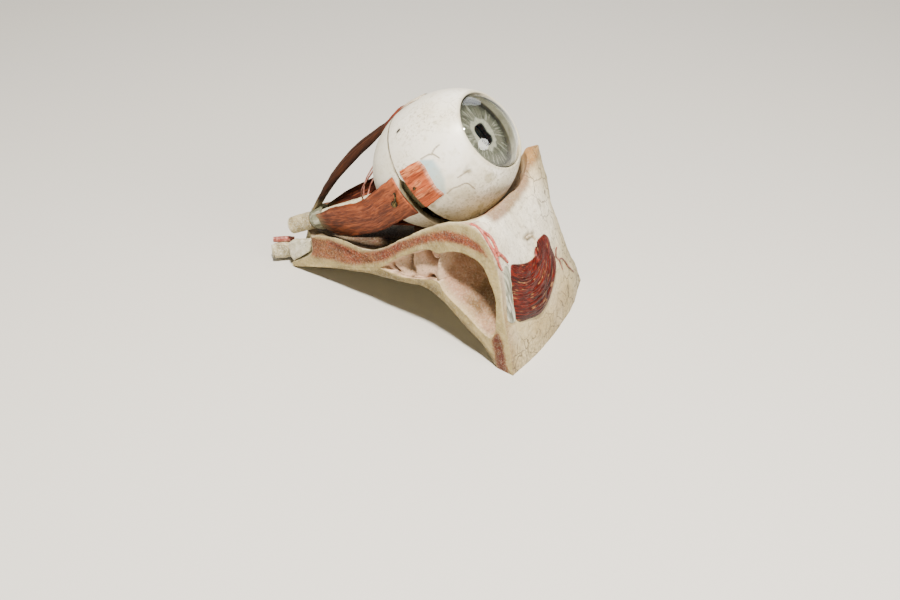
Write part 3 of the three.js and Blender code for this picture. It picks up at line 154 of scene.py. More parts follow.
def grain(points, size, seed=0, octaves=3):
    """Smooth noise from -1 to 1 with lumps of a size in mm: random values on a lattice, eased between."""
    total, weight = 0, 0
    for octave in range(octaves):
        scaled = np.asarray(points, float) * 2**octave / size + 13.7 * octave
        cell = np.floor(scaled).astype(np.int64)
        f = scaled - cell
        f = f * f * (3 - 2 * f)
        value = 0
        for corner in np.ndindex(2, 2, 2):
            key = ((cell + corner) * (374761393, 668265263, 1274126177)).sum(-1) + seed * 144665
            key = (key ^ (key >> 13)) * 1103515245 & 0x7FFFFFFF
            key = (key ^ (key >> 16)) * 69069 & 0x7FFFFFFF
            share = np.prod(np.where(corner, f, 1 - f), axis=-1)
            value = value + share * (key / 0x3FFFFFFF - 1)
        total = total + value / 2**octave
        weight += 1 / 2**octave
    return total / weight * 1.6


def patches(points, size, seed, low, high):
    """Where the noise passes from low to high, as a share from 0 to 1."""
    return ease(low, high, grain(points, size, seed))


def stack(*parts):
    """Points from their coordinates, on a common grid."""
    return np.stack(np.broadcast_arrays(*parts), -1)


def once_round(count):
    """Row of angles once round."""
    return np.linspace(0, 2 * math.pi, count, endpoint=False)[None, :]


def polar(radius, angle, z):
    """Points at a radius, an angle and a height."""
    return stack(radius * np.cos(angle), radius * np.sin(angle), z)


# %% Grids into meshes
def sheet_faces(rows, columns, around=False, closed=False):
    """Corner numbers of the squares of a grid. It may close round its columns and round its rows."""
    r, c = np.meshgrid(np.arange(rows - (not closed)), np.arange(columns - (not around)), indexing="ij")
    down, right = (r + 1) % rows, (c + 1) % columns
    corners = (r * columns + c, r * columns + right, down * columns + right, down * columns + c)
    return np.stack(corners, -1).reshape(-1, 4)


def grid(points, faces, **marks):
    """Flat points, their faces and the marks at each of them."""
    marks = {key: value.reshape((-1,) + value.shape[2:]) for key, value in marks.items()}
    return points.reshape(-1, 3), faces, marks


def ring_grid(rings, paint, closed=False, **marks):
    """Grid of rings (rows, around, xyz). Open rows get a fan at each end, closed rows join end to start."""
    rows, around = rings.shape[:2]
    faces = sheet_faces(rows, around, around=True, closed=closed)
    points, faces, marks = grid(rings, faces, paint=np.broadcast_to(paint, rings.shape), **marks)
    if not closed:
        n = rows * around
        near, far, hub = np.arange(around), np.arange(n - around, n), np.full(around, n)
        fans = [
            np.stack([hub, np.roll(near, -1), near, near], -1),
            np.stack([hub + 1, far, np.roll(far, -1), np.roll(far, -1)], -1),
        ]
        points = np.concatenate([points, [rings[0].mean(0), rings[-1].mean(0)]])
        faces = np.concatenate([faces, *fans])
        for key, value in marks.items():
            marks[key] = np.concatenate([value, [value[:around].mean(0), value[n - around : n].mean(0)]])
    return points, faces, marks


def welded(grids):
    """Joins (points, faces, marks) grids: equal points become one, and squares that lose a corner triangles."""
    offset = np.cumsum([0] + [len(points) for points, _, _ in grids])
    points = np.concatenate([points for points, _, _ in grids])
    faces = np.concatenate([faces + start for (_, faces, _), start in zip(grids, offset)])
    _, first, same = np.unique(np.round(points, 3), axis=0, return_index=True, return_inverse=True)
    faces = same.ravel()[faces]
    double = faces == np.roll(faces, -1, axis=1)
    quads, thin = faces[double.sum(1) == 0], double.sum(1) == 1
    turn = np.argmax(double[thin], axis=1)
    tris = faces[thin][np.arange(thin.sum())[:, None], (turn[:, None] + np.arange(1, 4)) % 4]
    marks = {key: np.concatenate([extra[key] for _, _, extra in grids])[first] for key in grids[0][2]}
    return points[first], quads, tris, marks


def volume(points, quads, tris):
    """Signed volume inside the faces: positive when they point outwards."""
    corners = np.concatenate([quads[:, [0, 1, 2]], quads[:, [0, 2, 3]], tris])
    a, b, c = (points[corners[:, k]] for k in range(3))
    return np.einsum("ij,ij->i", a, np.cross(b, c)).sum() / 6


# %% [markdown]
# One function makes every piece.

# %% Pieces
counts = []


def make(name, node, body, slot, *grids, finish=None, lumps=()):
    """A piece that stands for a CAD node. The grids are welded and turned to face out, the points move
    along their normals by lumps of (size, height, seed, mark), and the marks become attributes."""
    points, quads, tris, marks = welded(grids)
    if volume(points, quads, tris) < 0:
        quads, tris = quads[:, ::-1], tris[:, ::-1]
    mesh = bpy.data.meshes.new(name)
    mesh.from_pydata(points * MM, [], quads.tolist() + tris.tolist())
    mesh.validate()
    if lumps:
        normal = np.zeros(len(points) * 3)
        mesh.vertex_normals.foreach_get("vector", normal)
        rise = sum(height * grain(points, size, seed) * marks.get(mark, 1) for size, height, seed, mark in lumps)
        points = points + normal.reshape(-1, 3) * rise[:, None]
        mesh.vertices.foreach_set("co", (points * MM).astype(np.float32).ravel())
    for key, values in marks.items():
        holder, kind, field = mesh.attributes, "FLOAT", "value"
        if key == "paint":
            holder, kind, field = mesh.color_attributes, "FLOAT_COLOR", "color"
            values = np.c_[values, np.ones(len(values))]
        elif values.ndim == 2:
            kind, field, values = "FLOAT_VECTOR", "vector", values * MM
        holder.new(key, kind, "POINT").data.foreach_set(field, values.astype(np.float32).ravel())
    mesh.polygons.foreach_set("use_smooth", np.full(len(mesh.polygons), True))
    mesh.materials.append(finish or FINISHES[slot])
    piece = put(name, mesh, (0, 0, 0))
    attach(piece, body)
    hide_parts(node)
    counts.append(len(quads) * 2 + len(tris))
    print(f"{name}: {counts[-1]} triangles")


# %% [markdown]
# ## Paint
# Nearly everything on the model is the same craft: pressed paper, a ground of glue and chalk, oil paint
# and varnish, then a century of handling. So one function mixes every painted finish. The large strokes
# are worked out per point and kept in the mesh as the attribute "paint". Over them go layers of pattern,
# each with a real size in millimetres, which change the colour, the gloss and the relief.

# %% Colours
def tint(code):
    """Linear colour of an sRGB hex value."""
    channels = np.array([int(code[i : i + 2], 16) for i in (0, 2, 4)]) / 255
    return np.where(channels <= 0.04045, channels / 12.92, ((channels + 0.055) / 1.055) ** 2.4)


def coats(paint, *layers):
    """Lays (colour, share from 0 to 1) coats in turn over a paint, or over a ground colour's hex value."""
    paint = tint(paint) if isinstance(paint, str) else paint
    for colour, share in layers:
        share = np.clip(share, 0, 1)[..., None]
        paint = paint * (1 - share) + tint(colour) * share
    return paint


# %% Materials
def plain(name, **values):
    """New material, with values set on the sockets of its shader, by name with _ for a space."""
    material = bpy.data.materials.new(name)
    material.use_nodes = True
    for key, value in values.items():
        material.node_tree.nodes["Principled BSDF"].inputs[key.replace("_", " ")].default_value = value
    return material


def add_node(material, kind, output, settings=None, **inputs):
    """Adds a node, sets it up, links or sets its inputs, by name or _number, and gives one output."""
    tree = material.node_tree
    node = tree.nodes.new("ShaderNode" + kind)
    for key, value in (settings or {}).items():
        setattr(node, key, value)
    for key, value in inputs.items():
        socket = node.inputs[int(key[1:])] if key[1:].isdigit() else node.inputs[key.replace("_", " ")]
        if isinstance(value, bpy.types.NodeSocket):
            tree.links.new(value, socket)
        else:
            socket.default_value = value
    return node.outputs[output]


def painted(name, roughness, *layers, along=False, Coat_Weight=0.0, Metallic=0.0, Specular_IOR_Level=0.4):
    """Finish over the paint attribute. A layer is (pattern, size, low, high, colour, share, relief, mark):
    where the pattern passes from low to high its colour is laid on by the share, and the surface rises
    by the relief in mm. With along, patterns follow the piece's own grain coordinates."""
    material = plain(
        name, Roughness=roughness, Metallic=Metallic, Coat_Weight=Coat_Weight, Coat_Roughness=0.3,
        Specular_IOR_Level=Specular_IOR_Level,
    )
    add = functools.partial(add_node, material)

    def mark(name, output):
        return add("Attribute", output, {"attribute_name": name})

    place = mark("grain", "Vector") if along else add("TexCoord", "Object")
    colour, normal = mark("paint", "Color"), {}
    for pattern, size, low, high, stroke, share, relief, *where in layers:
        scale = 1 / (size * MM)
        if pattern == "cloud":
            value = add("TexNoise", "Fac", {"noise_dimensions": "3D"}, Vector=place, Scale=scale, Detail=4.0)
        else:
            wobble = add("TexNoise", "Color", Vector=place, Scale=scale * 1.7, Detail=2.0)
            reach = (size * MM * 0.6,) * 3
            spot = add("VectorMath", "Vector", {"operation": "MULTIPLY_ADD"}, _0=wobble, _1=reach, _2=place)
            feature = {"cracks": "DISTANCE_TO_EDGE", "spots": "F1"}[pattern]
            value = add("TexVoronoi", "Distance", {"feature": feature}, Vector=spot, Scale=scale)
        fade = add(
            "MapRange", "Result", {"interpolation_type": "SMOOTHSTEP"}, Value=value, From_Min=low, From_Max=high
        )
        for key in where:
            fade = add("Math", "Value", {"operation": "MULTIPLY"}, _0=fade, _1=mark(key, "Fac"))
        if share:
            amount = add("Math", "Value", {"operation": "MULTIPLY"}, _0=fade, _1=share)
            colour = add("Mix", 2, {"data_type": "RGBA"}, _0=amount, _6=colour, _7=(*tint(stroke), 1.0))
        if relief:
            height = abs(relief) * MM
            normal["Normal"] = add("Bump", "Normal", {"invert": relief < 0}, Height=fade, Distance=height, **normal)
    for key, value in {"Base Color": colour, **normal}.items():
        material.node_tree.links.new(value, material.node_tree.nodes["Principled BSDF"].inputs[key])
    return material


# %% [markdown]
# Each finish below is named for what it really is. A layer reads: kind of pattern, its size, where it
# fades in, its colour, how much of it, how high it stands, and the mark that limits it to a place.

# %% Finishes
FINISHES = {
    # Painted bone: a matt cream ground, yellowed in patches, with grit caught in the paint.
    "painted_bone": painted(
        "painted_papier_mache_bone", 0.62,
        ("cloud", 26, 0.42, 0.66, "94804a", 0.26, 0),
        ("cloud", 5, 0.5, 0.72, "7a693e", 0.3, 0.12),
        ("spots", 3.2, 0.22, 0.06, "43371f", 0.55, -0.15),
        ("cloud", 1.6, 0.45, 0.65, "f3ecd6", 0.12, 0.10),
        ("cracks", 16, 0.035, 0.0, "3d301b", 0.8, -0.15, "cracked"),
        ("spots", 1.4, 0.22, 0.08, "cf8a50", 0.5, 0.1, "sponge"),
        ("cloud", 1.3, 0.46, 0.60, "4a1406", 0.7, -0.12, "sponge"),
        ("cloud", 3.0, 0.46, 0.60, "514427", 0.8, 0, "grime"),
    ),
    # Varnished ivory paint of the eyeball: smooth, softly glossy, with a net of hair cracks.
    "sclera": painted(
        "varnished_ivory_paint", 0.42,
        ("cloud", 30, 0.42, 0.68, "cfc4a4", 0.34, 0),
        ("cloud", 4.5, 0.5, 0.72, "b0a47c", 0.28, 0.03),
        ("cracks", 17, 0.012, 0.0, "6b5a41", 0.55, -0.06, "cracked"),
        ("cracks", 6.5, 0.025, 0.0, "7a6846", 0.4, -0.03, "grime"),
        ("cloud", 2.2, 0.50, 0.64, "7d7148", 0.75, 0, "grime"),
        ("spots", 2.6, 0.16, 0.05, "6f6446", 0.4, -0.05, "grime"),
        Coat_Weight=0.25,
    ),
    # Muscle: red earth paint dragged along the fibres, with a dull varnish.
    "eye_muscle": painted(
        "streaked_muscle_paint", 0.58,
        ("cloud", 1.5, 0.46, 0.64, "b8623a", 0.42, 0.10),
        ("cloud", 1.0, 0.50, 0.66, "3d120a", 0.55, -0.2),
        ("cloud", 4.0, 0.50, 0.72, "4f2411", 0.5, 0),
        along=True, Specular_IOR_Level=0.25,
    ),
    # Face muscle: threads laid in glue under a thin varnish.
    "face_muscle": painted(
        "varnished_thread_muscle", 0.5,
        ("cloud", 1.1, 0.48, 0.62, "7c200c", 0.5, 0.15),
        ("cloud", 0.8, 0.46, 0.60, "1c0301", 0.65, -0.18),
        ("cloud", 2.4, 0.64, 0.74, "b0652e", 0.3, 0),
        along=True, Coat_Weight=0.05, Specular_IOR_Level=0.25,
    ),
    # Tendon: grey-white brushwork along the fibres.
    "tendon": painted(
        "dull_tendon_paint", 0.6,
        ("cloud", 2.4, 0.45, 0.68, "d9d6c2", 0.45, 0.12),
        ("cloud", 1.4, 0.52, 0.7, "5d5c4c", 0.5, -0.15),
        along=True,
    ),
    # Nerve: chalky paint that has gone grey in the pits.
    "nerve": painted(
        "chalky_nerve_paint", 0.7,
        ("cloud", 7, 0.45, 0.7, "a8a07f", 0.4, 0.1),
        ("spots", 2.2, 0.26, 0.08, "4f4934", 0.5, -0.2),
        ("cloud", 1.4, 0.45, 0.65, "f2eedd", 0.3, 0.12),
    ),
    # Vessel: a thread stiffened with glue and painted red.
    "vessel": painted(
        "painted_thread_vessel", 0.45,
        ("cloud", 2.2, 0.45, 0.66, "e0a08e", 0.45, 0.08),
        ("cloud", 1.2, 0.55, 0.7, "4e1612", 0.5, -0.1),
        Coat_Weight=0.15,
    ),
    # Choroid: dull dark red-brown paint on bare paper.
    "choroid": painted(
        "dull_dark_lining", 0.75,
        ("cloud", 4, 0.45, 0.7, "6e3a26", 0.4, 0.1),
        ("cloud", 1.4, 0.5, 0.7, "120806", 0.5, -0.1),
    ),
    # Retina: orange paint with fine red vessels.
    "retina": painted(
        "painted_retina", 0.55,
        ("cloud", 12, 0.45, 0.7, "e8b07a", 0.4, 0),
        ("cracks", 11, 0.03, 0.0, "a02a1c", 0.8, 0.08),
    ),
    # Bare pasteboard of the collar, with its fibres.
    "card": painted(
        "bare_pasteboard", 0.85,
        ("cloud", 6, 0.45, 0.7, "6c664a", 0.5, 0.1),
        ("cloud", 0.9, 0.45, 0.65, "b9b28d", 0.35, 0.12),
    ),
    # Iris: fine light and dark oil strokes.
    "iris": painted(
        "painted_iris_fibres", 0.5,
        ("cloud", 0.9, 0.5, 0.66, "d8d4bc", 0.2, 0.06),
        ("cloud", 0.7, 0.55, 0.7, "23231e", 0.35, -0.05),
    ),
    # Brass wire and screws, black with old varnish.
    "hook_wire": painted(
        "tarnished_brass_wire", 0.5,
        ("cloud", 1.5, 0.45, 0.65, "8d7a4b", 0.5, 0.05),
        ("cloud", 0.7, 0.5, 0.7, "16120a", 0.6, -0.05),
        Metallic=0.75,
    ),
}
FINISHES["fat"] = FINISHES["choroid"]
# The upper strap is darker and smoother than the other muscles: old brown varnish over thin paint.
strap_finish = painted(
    "brown_varnished_strap", 0.78,
    ("cloud", 2.0, 0.46, 0.66, "5a3014", 0.4, 0.08),
    ("cloud", 1.0, 0.5, 0.66, "150803", 0.5, -0.12),
    along=True, Specular_IOR_Level=0.2,
)
# Glass, blown thin for the cornea and cast solid inside the eye: it lets the light through and bends it.
for slot, name, colour, roughness in (
    ("cornea_glass", "blown_cornea_glass", "eef3f2", 0.02), ("clear_glass", "cast_glass_body", "d8e2da", 0.16)
):
    FINISHES[slot] = plain(
        name, Base_Color=(*tint(colour), 1.0), Roughness=roughness, Transmission_Weight=1.0, IOR=1.47
    )
print(len(bpy.data.materials), "finishes")

# %% [markdown]
# The floor is stage, not object: a plain pale sheet a little larger than any view of it.

# %% Floor
floor_mesh = bpy.data.meshes.new("floor")
floor_mesh.from_pydata([(-6, -6, 0), (6, -6, 0), (6, 6, 0), (-6, 6, 0)], [], [(0, 1, 2, 3)])
floor_mesh.materials.append(plain("pale_floor", Base_Color=(*tint("d6d3cc"), 1.0), Roughness=0.9))
put("floor", floor_mesh, (0, 0, 0))

# %% [markdown]
# ## Axes of the eyeball
# The eye looks up and a little to the temple. Its own axes make every shell a plain spheroid: x points
# up the eye, y to the temple and z out through the pupil.

# %% Eye axes
EYE_CENTRE = np.array([-101.3, 21.8, 129.4])
EYE_TILT, EYE_TURN = math.radians(41), math.radians(7)
EYE_RADIUS, EYE_LENGTH = 54.7, 68.0
level_turn = math.cos(EYE_TILT)
eye_axis = np.array([level_turn * math.cos(EYE_TURN), -level_turn * math.sin(EYE_TURN), math.sin(EYE_TILT)])
eye_out = np.array([-math.sin(EYE_TURN), -math.cos(EYE_TURN), 0.0])
EYE_AXES = np.stack([np.cross(eye_out, eye_axis), eye_out, eye_axis])
print("the eye looks along", eye_axis.round(3))


def from_eye(points):
    """Places given in the eye's axes, in the model's frame."""
    return EYE_CENTRE + points @ EYE_AXES


def to_eye(points):
    """Places in the model's frame, in the eye's axes."""
    return (points - EYE_CENTRE) @ EYE_AXES.T


def off_spheroid(points, radius, length):
    """Moves what lies inside a spheroid about the eye's axis straight out onto it."""
    depth = np.sqrt((points[..., 0] ** 2 + points[..., 1] ** 2) / radius**2 + points[..., 2] ** 2 / length**2)
    return points / np.minimum(np.maximum(depth, 1e-6), 1)[..., None]

# %% [markdown]
# ## The bone block
# The cheek bone is a pressed paper shell with a cast core, sawn through on the temple side. I know it
# best as a row of outlines on upright planes that fan out from the face to the back end. A smooth loft
# through these outlines gives the face, the floor of the orbit, the back end and the arch below. The
# seat of the eyeball and of the nerve is pressed into it: points that lie inside a clearance are moved
# out onto it.

# %% Outlines of the bone
FOOT_LINE = [[-11, -84], [-1, -44], [5, -2], [7, 39], [3, 80]]
BACK_LINE = np.array([[-246.3, 24.9], [-243.0, 74.0]])
SHARES = [0, 0.12, 0.33, 0.66, 0.83, 1]
FACE = [
    [[0, 0], [3.2, 21], [8.3, 40], [11.8, 58], [14.3, 77], [22, 99], [36.8, 116.5], [50, 119.5]],
    [[0, 0], [3, 21], [8.2, 40], [12.5, 58], [17, 77], [25, 99], [37, 115], [47, 119]],
    [[0, 0], [2, 21], [8, 40], [14, 58], [20, 77], [30, 99], [40, 113], [46, 118]],
    [[0, 0], [2, 21], [8, 40], [14, 58], [20, 77], [30, 99], [41, 114], [47, 120]],
    [[0, 0], [3, 21], [9, 40], [15, 58], [21, 77], [30, 99], [37.5, 122], [43, 147]],
    [[0, 0], [6.7, 21], [12.8, 40], [18.5, 58], [24.4, 77], [30, 95], [33, 102], [36, 106]],
]
TOP = [
    [[50, 119.5], [74, 112], [96, 98], [118.6, 81.3], [142, 64], [164.6, 53], [196, 51], [221, 45], [232.5, 39.5]],
    [[47, 119], [68, 106], [88, 90], [110, 74], [136, 59], [160, 47], [198, 41], [222, 37], [234, 33]],
    [[46, 118], [66, 97], [84, 80], [104, 69], [130, 59], [160, 46], [205, 38], [230, 38.5], [246, 33]],
    [[47, 120], [57, 103], [68, 86], [86, 70], [108, 60], [132, 55], [163, 46], [206, 40], [243, 34]],
    [[43, 147], [54, 122], [66, 95], [86, 76], [108, 66], [132, 61], [165, 52], [206, 45], [241, 36]],
    [[36, 106], [50, 98], [66, 91], [86, 86], [108, 82], [134, 77], [168, 67], [206, 53], [238, 40]],
]
END = [
    [[232.5, 39.5], [234, 21.5], [259, 4]], [[234, 33], [236, 21], [257, 4]], [[246, 33], [250, 18], [253, 4]],
    [[243, 34], [248, 18], [250, 4]], [[241, 36], [246, 18], [248, 4]], [[238, 40], [243, 19], [245, 4]],
]
ARCH = [[259, 0], [235.6, 8.2], [210, 17.3], [185, 25], [149, 34], [117, 39.4], [98.8, 43.5], [77.5, 39.2],
        [52, 25], [31, 14.5], [17, 0]]
ARCH_LIFT = [1, 1, 0.98, 0.94, 0.9, 0.82]
FOOT_WIDTH, FACE_WIDTH = 17, 164
HORN_SHARE, HORN_TOP, HORN_PRESS = 0.83, 129.5, 0.78
NOSTRIL = np.array(
    [[0, 0], [17, 3.4], [28, 7.5], [44, 11], [62, 13.7], [79, 16.5], [92, 12.8], [104, 7.7], [140, 5]]
)
FACE_ROWS, TOP_ROWS, END_ROWS, ARCH_ROWS, FOOT_ROWS, STATIONS = 64, 130, 16, 84, 10, 126


def upright_plane(share):
    """Foot of the plane at a share of the way from temple to nose, and its direction to the back."""
    foot = flow(np.linspace(0, 1, 5), FOOT_LINE, share)
    run = BACK_LINE[0] + (BACK_LINE[1] - BACK_LINE[0]) * share[:, None] - foot
    return foot, run / np.linalg.norm(run, axis=1)[:, None]


def on_plane(share, s, z):
    """Place of (distance from the foot, height) on each plane; the face draws in beside the nostril."""
    foot, run = upright_plane(share)
    draw = flow(NOSTRIL[:, 0], NOSTRIL[:, 1], z.ravel()).reshape(z.shape)
    draw = draw * (np.maximum(0, (share - 0.55) / 0.45) ** 2)[:, None] * np.exp(-np.maximum(0, s - 25) / 45)
    return np.stack([foot[:, :1] + run[:, :1] * s, foot[:, 1:] + run[:, 1:] * s - draw, z], -1)


def bone_outlines(share):
    """Closed outline of each plane as (s, z), face first, then top, end, arch and foot. Near the horn of
    the rim neighbouring planes share more of their outline and the top is pressed down, so it is blunt."""
    off_horn = share - HORN_SHARE
    share = share - 0.8 * off_horn * bell(off_horn / np.where(off_horn > 0, 0.12, 0.05))
    rows = (FACE, FACE_ROWS), (TOP, TOP_ROWS), (END, END_ROWS)
    face, top, end = (through(flow(SHARES, knots, share), count) for knots, count in rows)
    arch = through(ARCH, ARCH_ROWS)
    stretch = (end[:, -1, 0] - FOOT_WIDTH) / (ARCH[0][0] - FOOT_WIDTH)
    lift = flow(SHARES, ARCH_LIFT, share)[:, None]
    under = np.stack(
        [FOOT_WIDTH + (arch[:, 0] - FOOT_WIDTH) * stretch[:, None], np.maximum(arch[:, 1], 0) * lift], -1
    )
    sole = np.broadcast_to(stack(np.linspace(FOOT_WIDTH, 0, FOOT_ROWS), 0), (len(share), FOOT_ROWS, 2))
    line = np.concatenate([face[:, :-1], top[:, :-1], end, under[:, :-1], sole[:, :-1]], axis=1)
    line[..., 1] -= HORN_PRESS * np.maximum(line[..., 1] - HORN_TOP, 0)
    return line


# %% Seats of the eyeball and of the nerve
NERVE_END = np.array([19.7, 6.1, -148.0])
SHEATH_END = np.array([26.8, 4.3, -177.0])
NERVE_BEND = np.array([17.6, 5.0, -139.0])
SOCKET_GAP, SHEATH_RADIUS, TENDON_RADIUS, TENDON_LENGTH = 6, 7.6, 10.6, 13
sheath_length = np.linalg.norm(SHEATH_END - NERVE_END)
sheath_axis = (SHEATH_END - NERVE_END) / sheath_length
tendon_axis = (NERVE_END - NERVE_BEND) / np.linalg.norm(NERVE_END - NERVE_BEND)
tendon_middle = NERVE_END - tendon_axis * (0.3 + TENDON_LENGTH / 2)


def off_rod(points, start, axis, low, high, radius):
    """Moves what lies inside a rod, between two distances along its axis, straight out to its radius."""
    along = (points - start) @ axis
    across = points - start - along[..., None] * axis
    width = np.linalg.norm(across, axis=-1)
    inside = (along > low) & (along < high) & (width < radius)
    push = np.where(inside, radius / np.maximum(width, 1e-6), 1.0)
    return start + along[..., None] * axis + across * push[..., None]


def pressed(points):
    """Bone points moved out of the seats of the eyeball, the nerve's sheath and the tendon ring."""
    local = off_spheroid(to_eye(points), EYE_RADIUS + SOCKET_GAP, EYE_LENGTH + SOCKET_GAP)
    local = off_rod(local, NERVE_END, sheath_axis, -2, 40, SHEATH_RADIUS + 0.4)
    return from_eye(off_rod(local, tendon_middle, tendon_axis, -8, 8, TENDON_RADIUS + 1.5))


share = np.sort(np.concatenate([np.linspace(0, 1, STATIONS), [0.002, 0.005, 0.995, 0.998]]))
outline = bone_outlines(share)
bone_rings = pressed(on_plane(share, outline[..., 0], outline[..., 1]))
bone_faces = sheet_faces(*bone_rings.shape[:2], around=True)
print("bone rings:", bone_rings.shape)

# %% [markdown]
# The block's sides are the two saw cuts. The temple cut shows the core: a cream shell, a band of red
# marrow and an air cell. The cell's mouth is an outline on the cut, and its lining is a depth below the
# cut at each place: deep under the orbit in front, shallow and lumpy behind, with a thin wall between.
# Wherever the lining would come too near the outside of the bone, its depth is taken back.

# %% Air cell
SINUS = [[149, 41.5], [131, 56.8], [116, 67.5], [103, 76], [92, 80.5], [82, 80.5], [69, 87], [57, 91], [46, 91.5],
         [37, 89], [30.5, 84], [25.5, 76.5], [20.5, 66], [19.3, 54], [19.2, 40], [21, 29], [25, 24.5], [33, 26.5],
         [52, 36], [75, 46.5], [84, 54.5], [103, 48.5], [125, 42.5], [146, 41]]
SINUS_MIDDLE = np.array([60.0, 62.0])
CELL_ROWS, CUT_ROWS, CELL_WALL = 44, 26, 6.0
foot_point, run = (v[0] for v in upright_plane(np.zeros(1)))
inward = np.array([-run[1], run[0], 0.0]) * -1


def on_cut(s, z, depth):
    """Place at (s, z) on the temple cut, a depth in from it."""
    return stack(foot_point[0] + run[0] * s, foot_point[1] + run[1] * s, z) + depth[..., None] * inward


def septum(s, z):
    """How near a place is to the thin wall between the front cell and the ones behind it."""
    return bell((s - 83.5 + 0.12 * np.maximum(60 - z, 0)) / 2.6) * ease(50, 56, z)


def crease(s, z):
    """1 in the creases between the rounded swellings of the back cells and 0 on top of them."""
    here = stack(s + 0.35 * z, z - 0.3 * s, 0)
    return np.clip(1 - 2.6 * np.abs(grain(here, 15, 5, 2)), 0, 1) ** 1.5 * ease(84, 90, s)


def cell_depth(s, z):
    """Depth of the lining: it falls away up the front cell, stays shallow behind, and rises at the wall."""
    here = stack(s, z, 0)
    climb = (84 - s) * 0.453 + (z - 54.5) * 0.891
    front = 6 + 1.05 * np.clip(climb, 0, 27) + 2.6 * np.clip(climb - 27, 0, 16) + 2.6 * grain(here, 17, 6, 2)
    height = np.clip((z - (57 - 0.245 * (s - 75))) / 24, 0, 1)
    back = 4 + 9 * height**1.5 + 5.5 * crease(s, z)
    behind = ease(80, 87, s)
    return (front * (1 - behind) + back * behind) * (1 - 0.78 * septum(s, z)) + 0.8 * grain(here, 8, 8, 2)


sinus = spread(through(SINUS + [SINUS[0]], 600), 601)


def sinus_part(start, stop, count):
    """Part of the cell's mouth between the places nearest to two points, in the outline's own order."""
    i, j = (int(np.argmin(np.linalg.norm(sinus[:-1] - p, axis=1))) for p in (start, stop))
    part = sinus[i : j + 1] if i <= j else np.concatenate([sinus[i:-1], sinus[: j + 1]])
    return spread(part, count)


first = outline[0]
TIP, RIM, TOE = (149, 41.5), (46, 91.5), (25, 24.5)
top_start, end_start = FACE_ROWS - 1, FACE_ROWS + TOP_ROWS - 2
arch_start = end_start + END_ROWS
sole_start = arch_start + ARCH_ROWS - 1
past_tip = top_start + int(np.argmax(first[top_start:end_start, 0] > 150))
back_at_tip = arch_start + int(np.argmax(first[arch_start:sole_start, 0] < 150))
mouth = np.concatenate([
    sinus_part(RIM, TOE, top_start + 1)[::-1],
    sinus_part(TIP, RIM, past_tip - top_start + 1)[::-1][1:],
    np.broadcast_to(sinus[0], (back_at_tip - past_tip - 1, 2)),
    sinus_part(TOE, TIP, sole_start - back_at_tip)[::-1],
    np.broadcast_to(sinus_part(TOE, TOE, 2)[0], (len(first) - sole_start, 2)),
])
print("cut outline and mouth:", first.shape, mouth.shape)

# %% [markdown]
# The colours of the block follow the same places: cream on the face, dark red-brown on the floor of the
# orbit where the eyeball and the muscles lie, partly the floor's own paint and partly painted shade,
# pinkish beige in the air cell with painted shade in its creases and under its deep roof, and on the cut
# the red marrow between two cream bands. The band is a line of points along the cut, each with a half width.

# %% Colours of the bone
MARROW = [[238, 26, 4], [230, 30, 8.5], [207.5, 36, 8.6], [188.3, 38.5, 7.8], [169.7, 42.5, 4.6], [145.2, 54.4, 4.0],
          [126, 70.2, 3.3], [104.7, 84, 2.7], [86.6, 94.6, 3.0], [68.9, 101.2, 4.1], [53, 104, 3.9],
          [39.8, 102.6, 3.0], [33.5, 100.5, 0.8], [30, 98, 0.1]]
FOOT_MARROW = [[17, 31, 0.5], [17, 24, 4.5], [14, 11, 4.2], [11.5, 3, 4.0], [10.5, 0, 3.8]]


def band(s, z, line, softness):
    """How far a place lies inside a band: 1 within the half width of its line, fading over the softness."""
    dense = spread(line, 160)
    gap = np.sqrt((s[..., None] - dense[:, 0]) ** 2 + (z[..., None] - dense[:, 1]) ** 2) - dense[:, 2]
    return 1 - ease(-softness * 0.5, softness, gap.min(-1))


def skin_grid(points, faces, paint, **marks):
    """A grid of the bone with its paint and its three marks, each 0 where it isn't given."""
    zero = np.zeros(points.shape[:-1])
    marks = {key: zero + marks.get(key, 0) for key in ("sponge", "grime", "cracked")}
    return grid(points, faces, paint=paint, **marks)


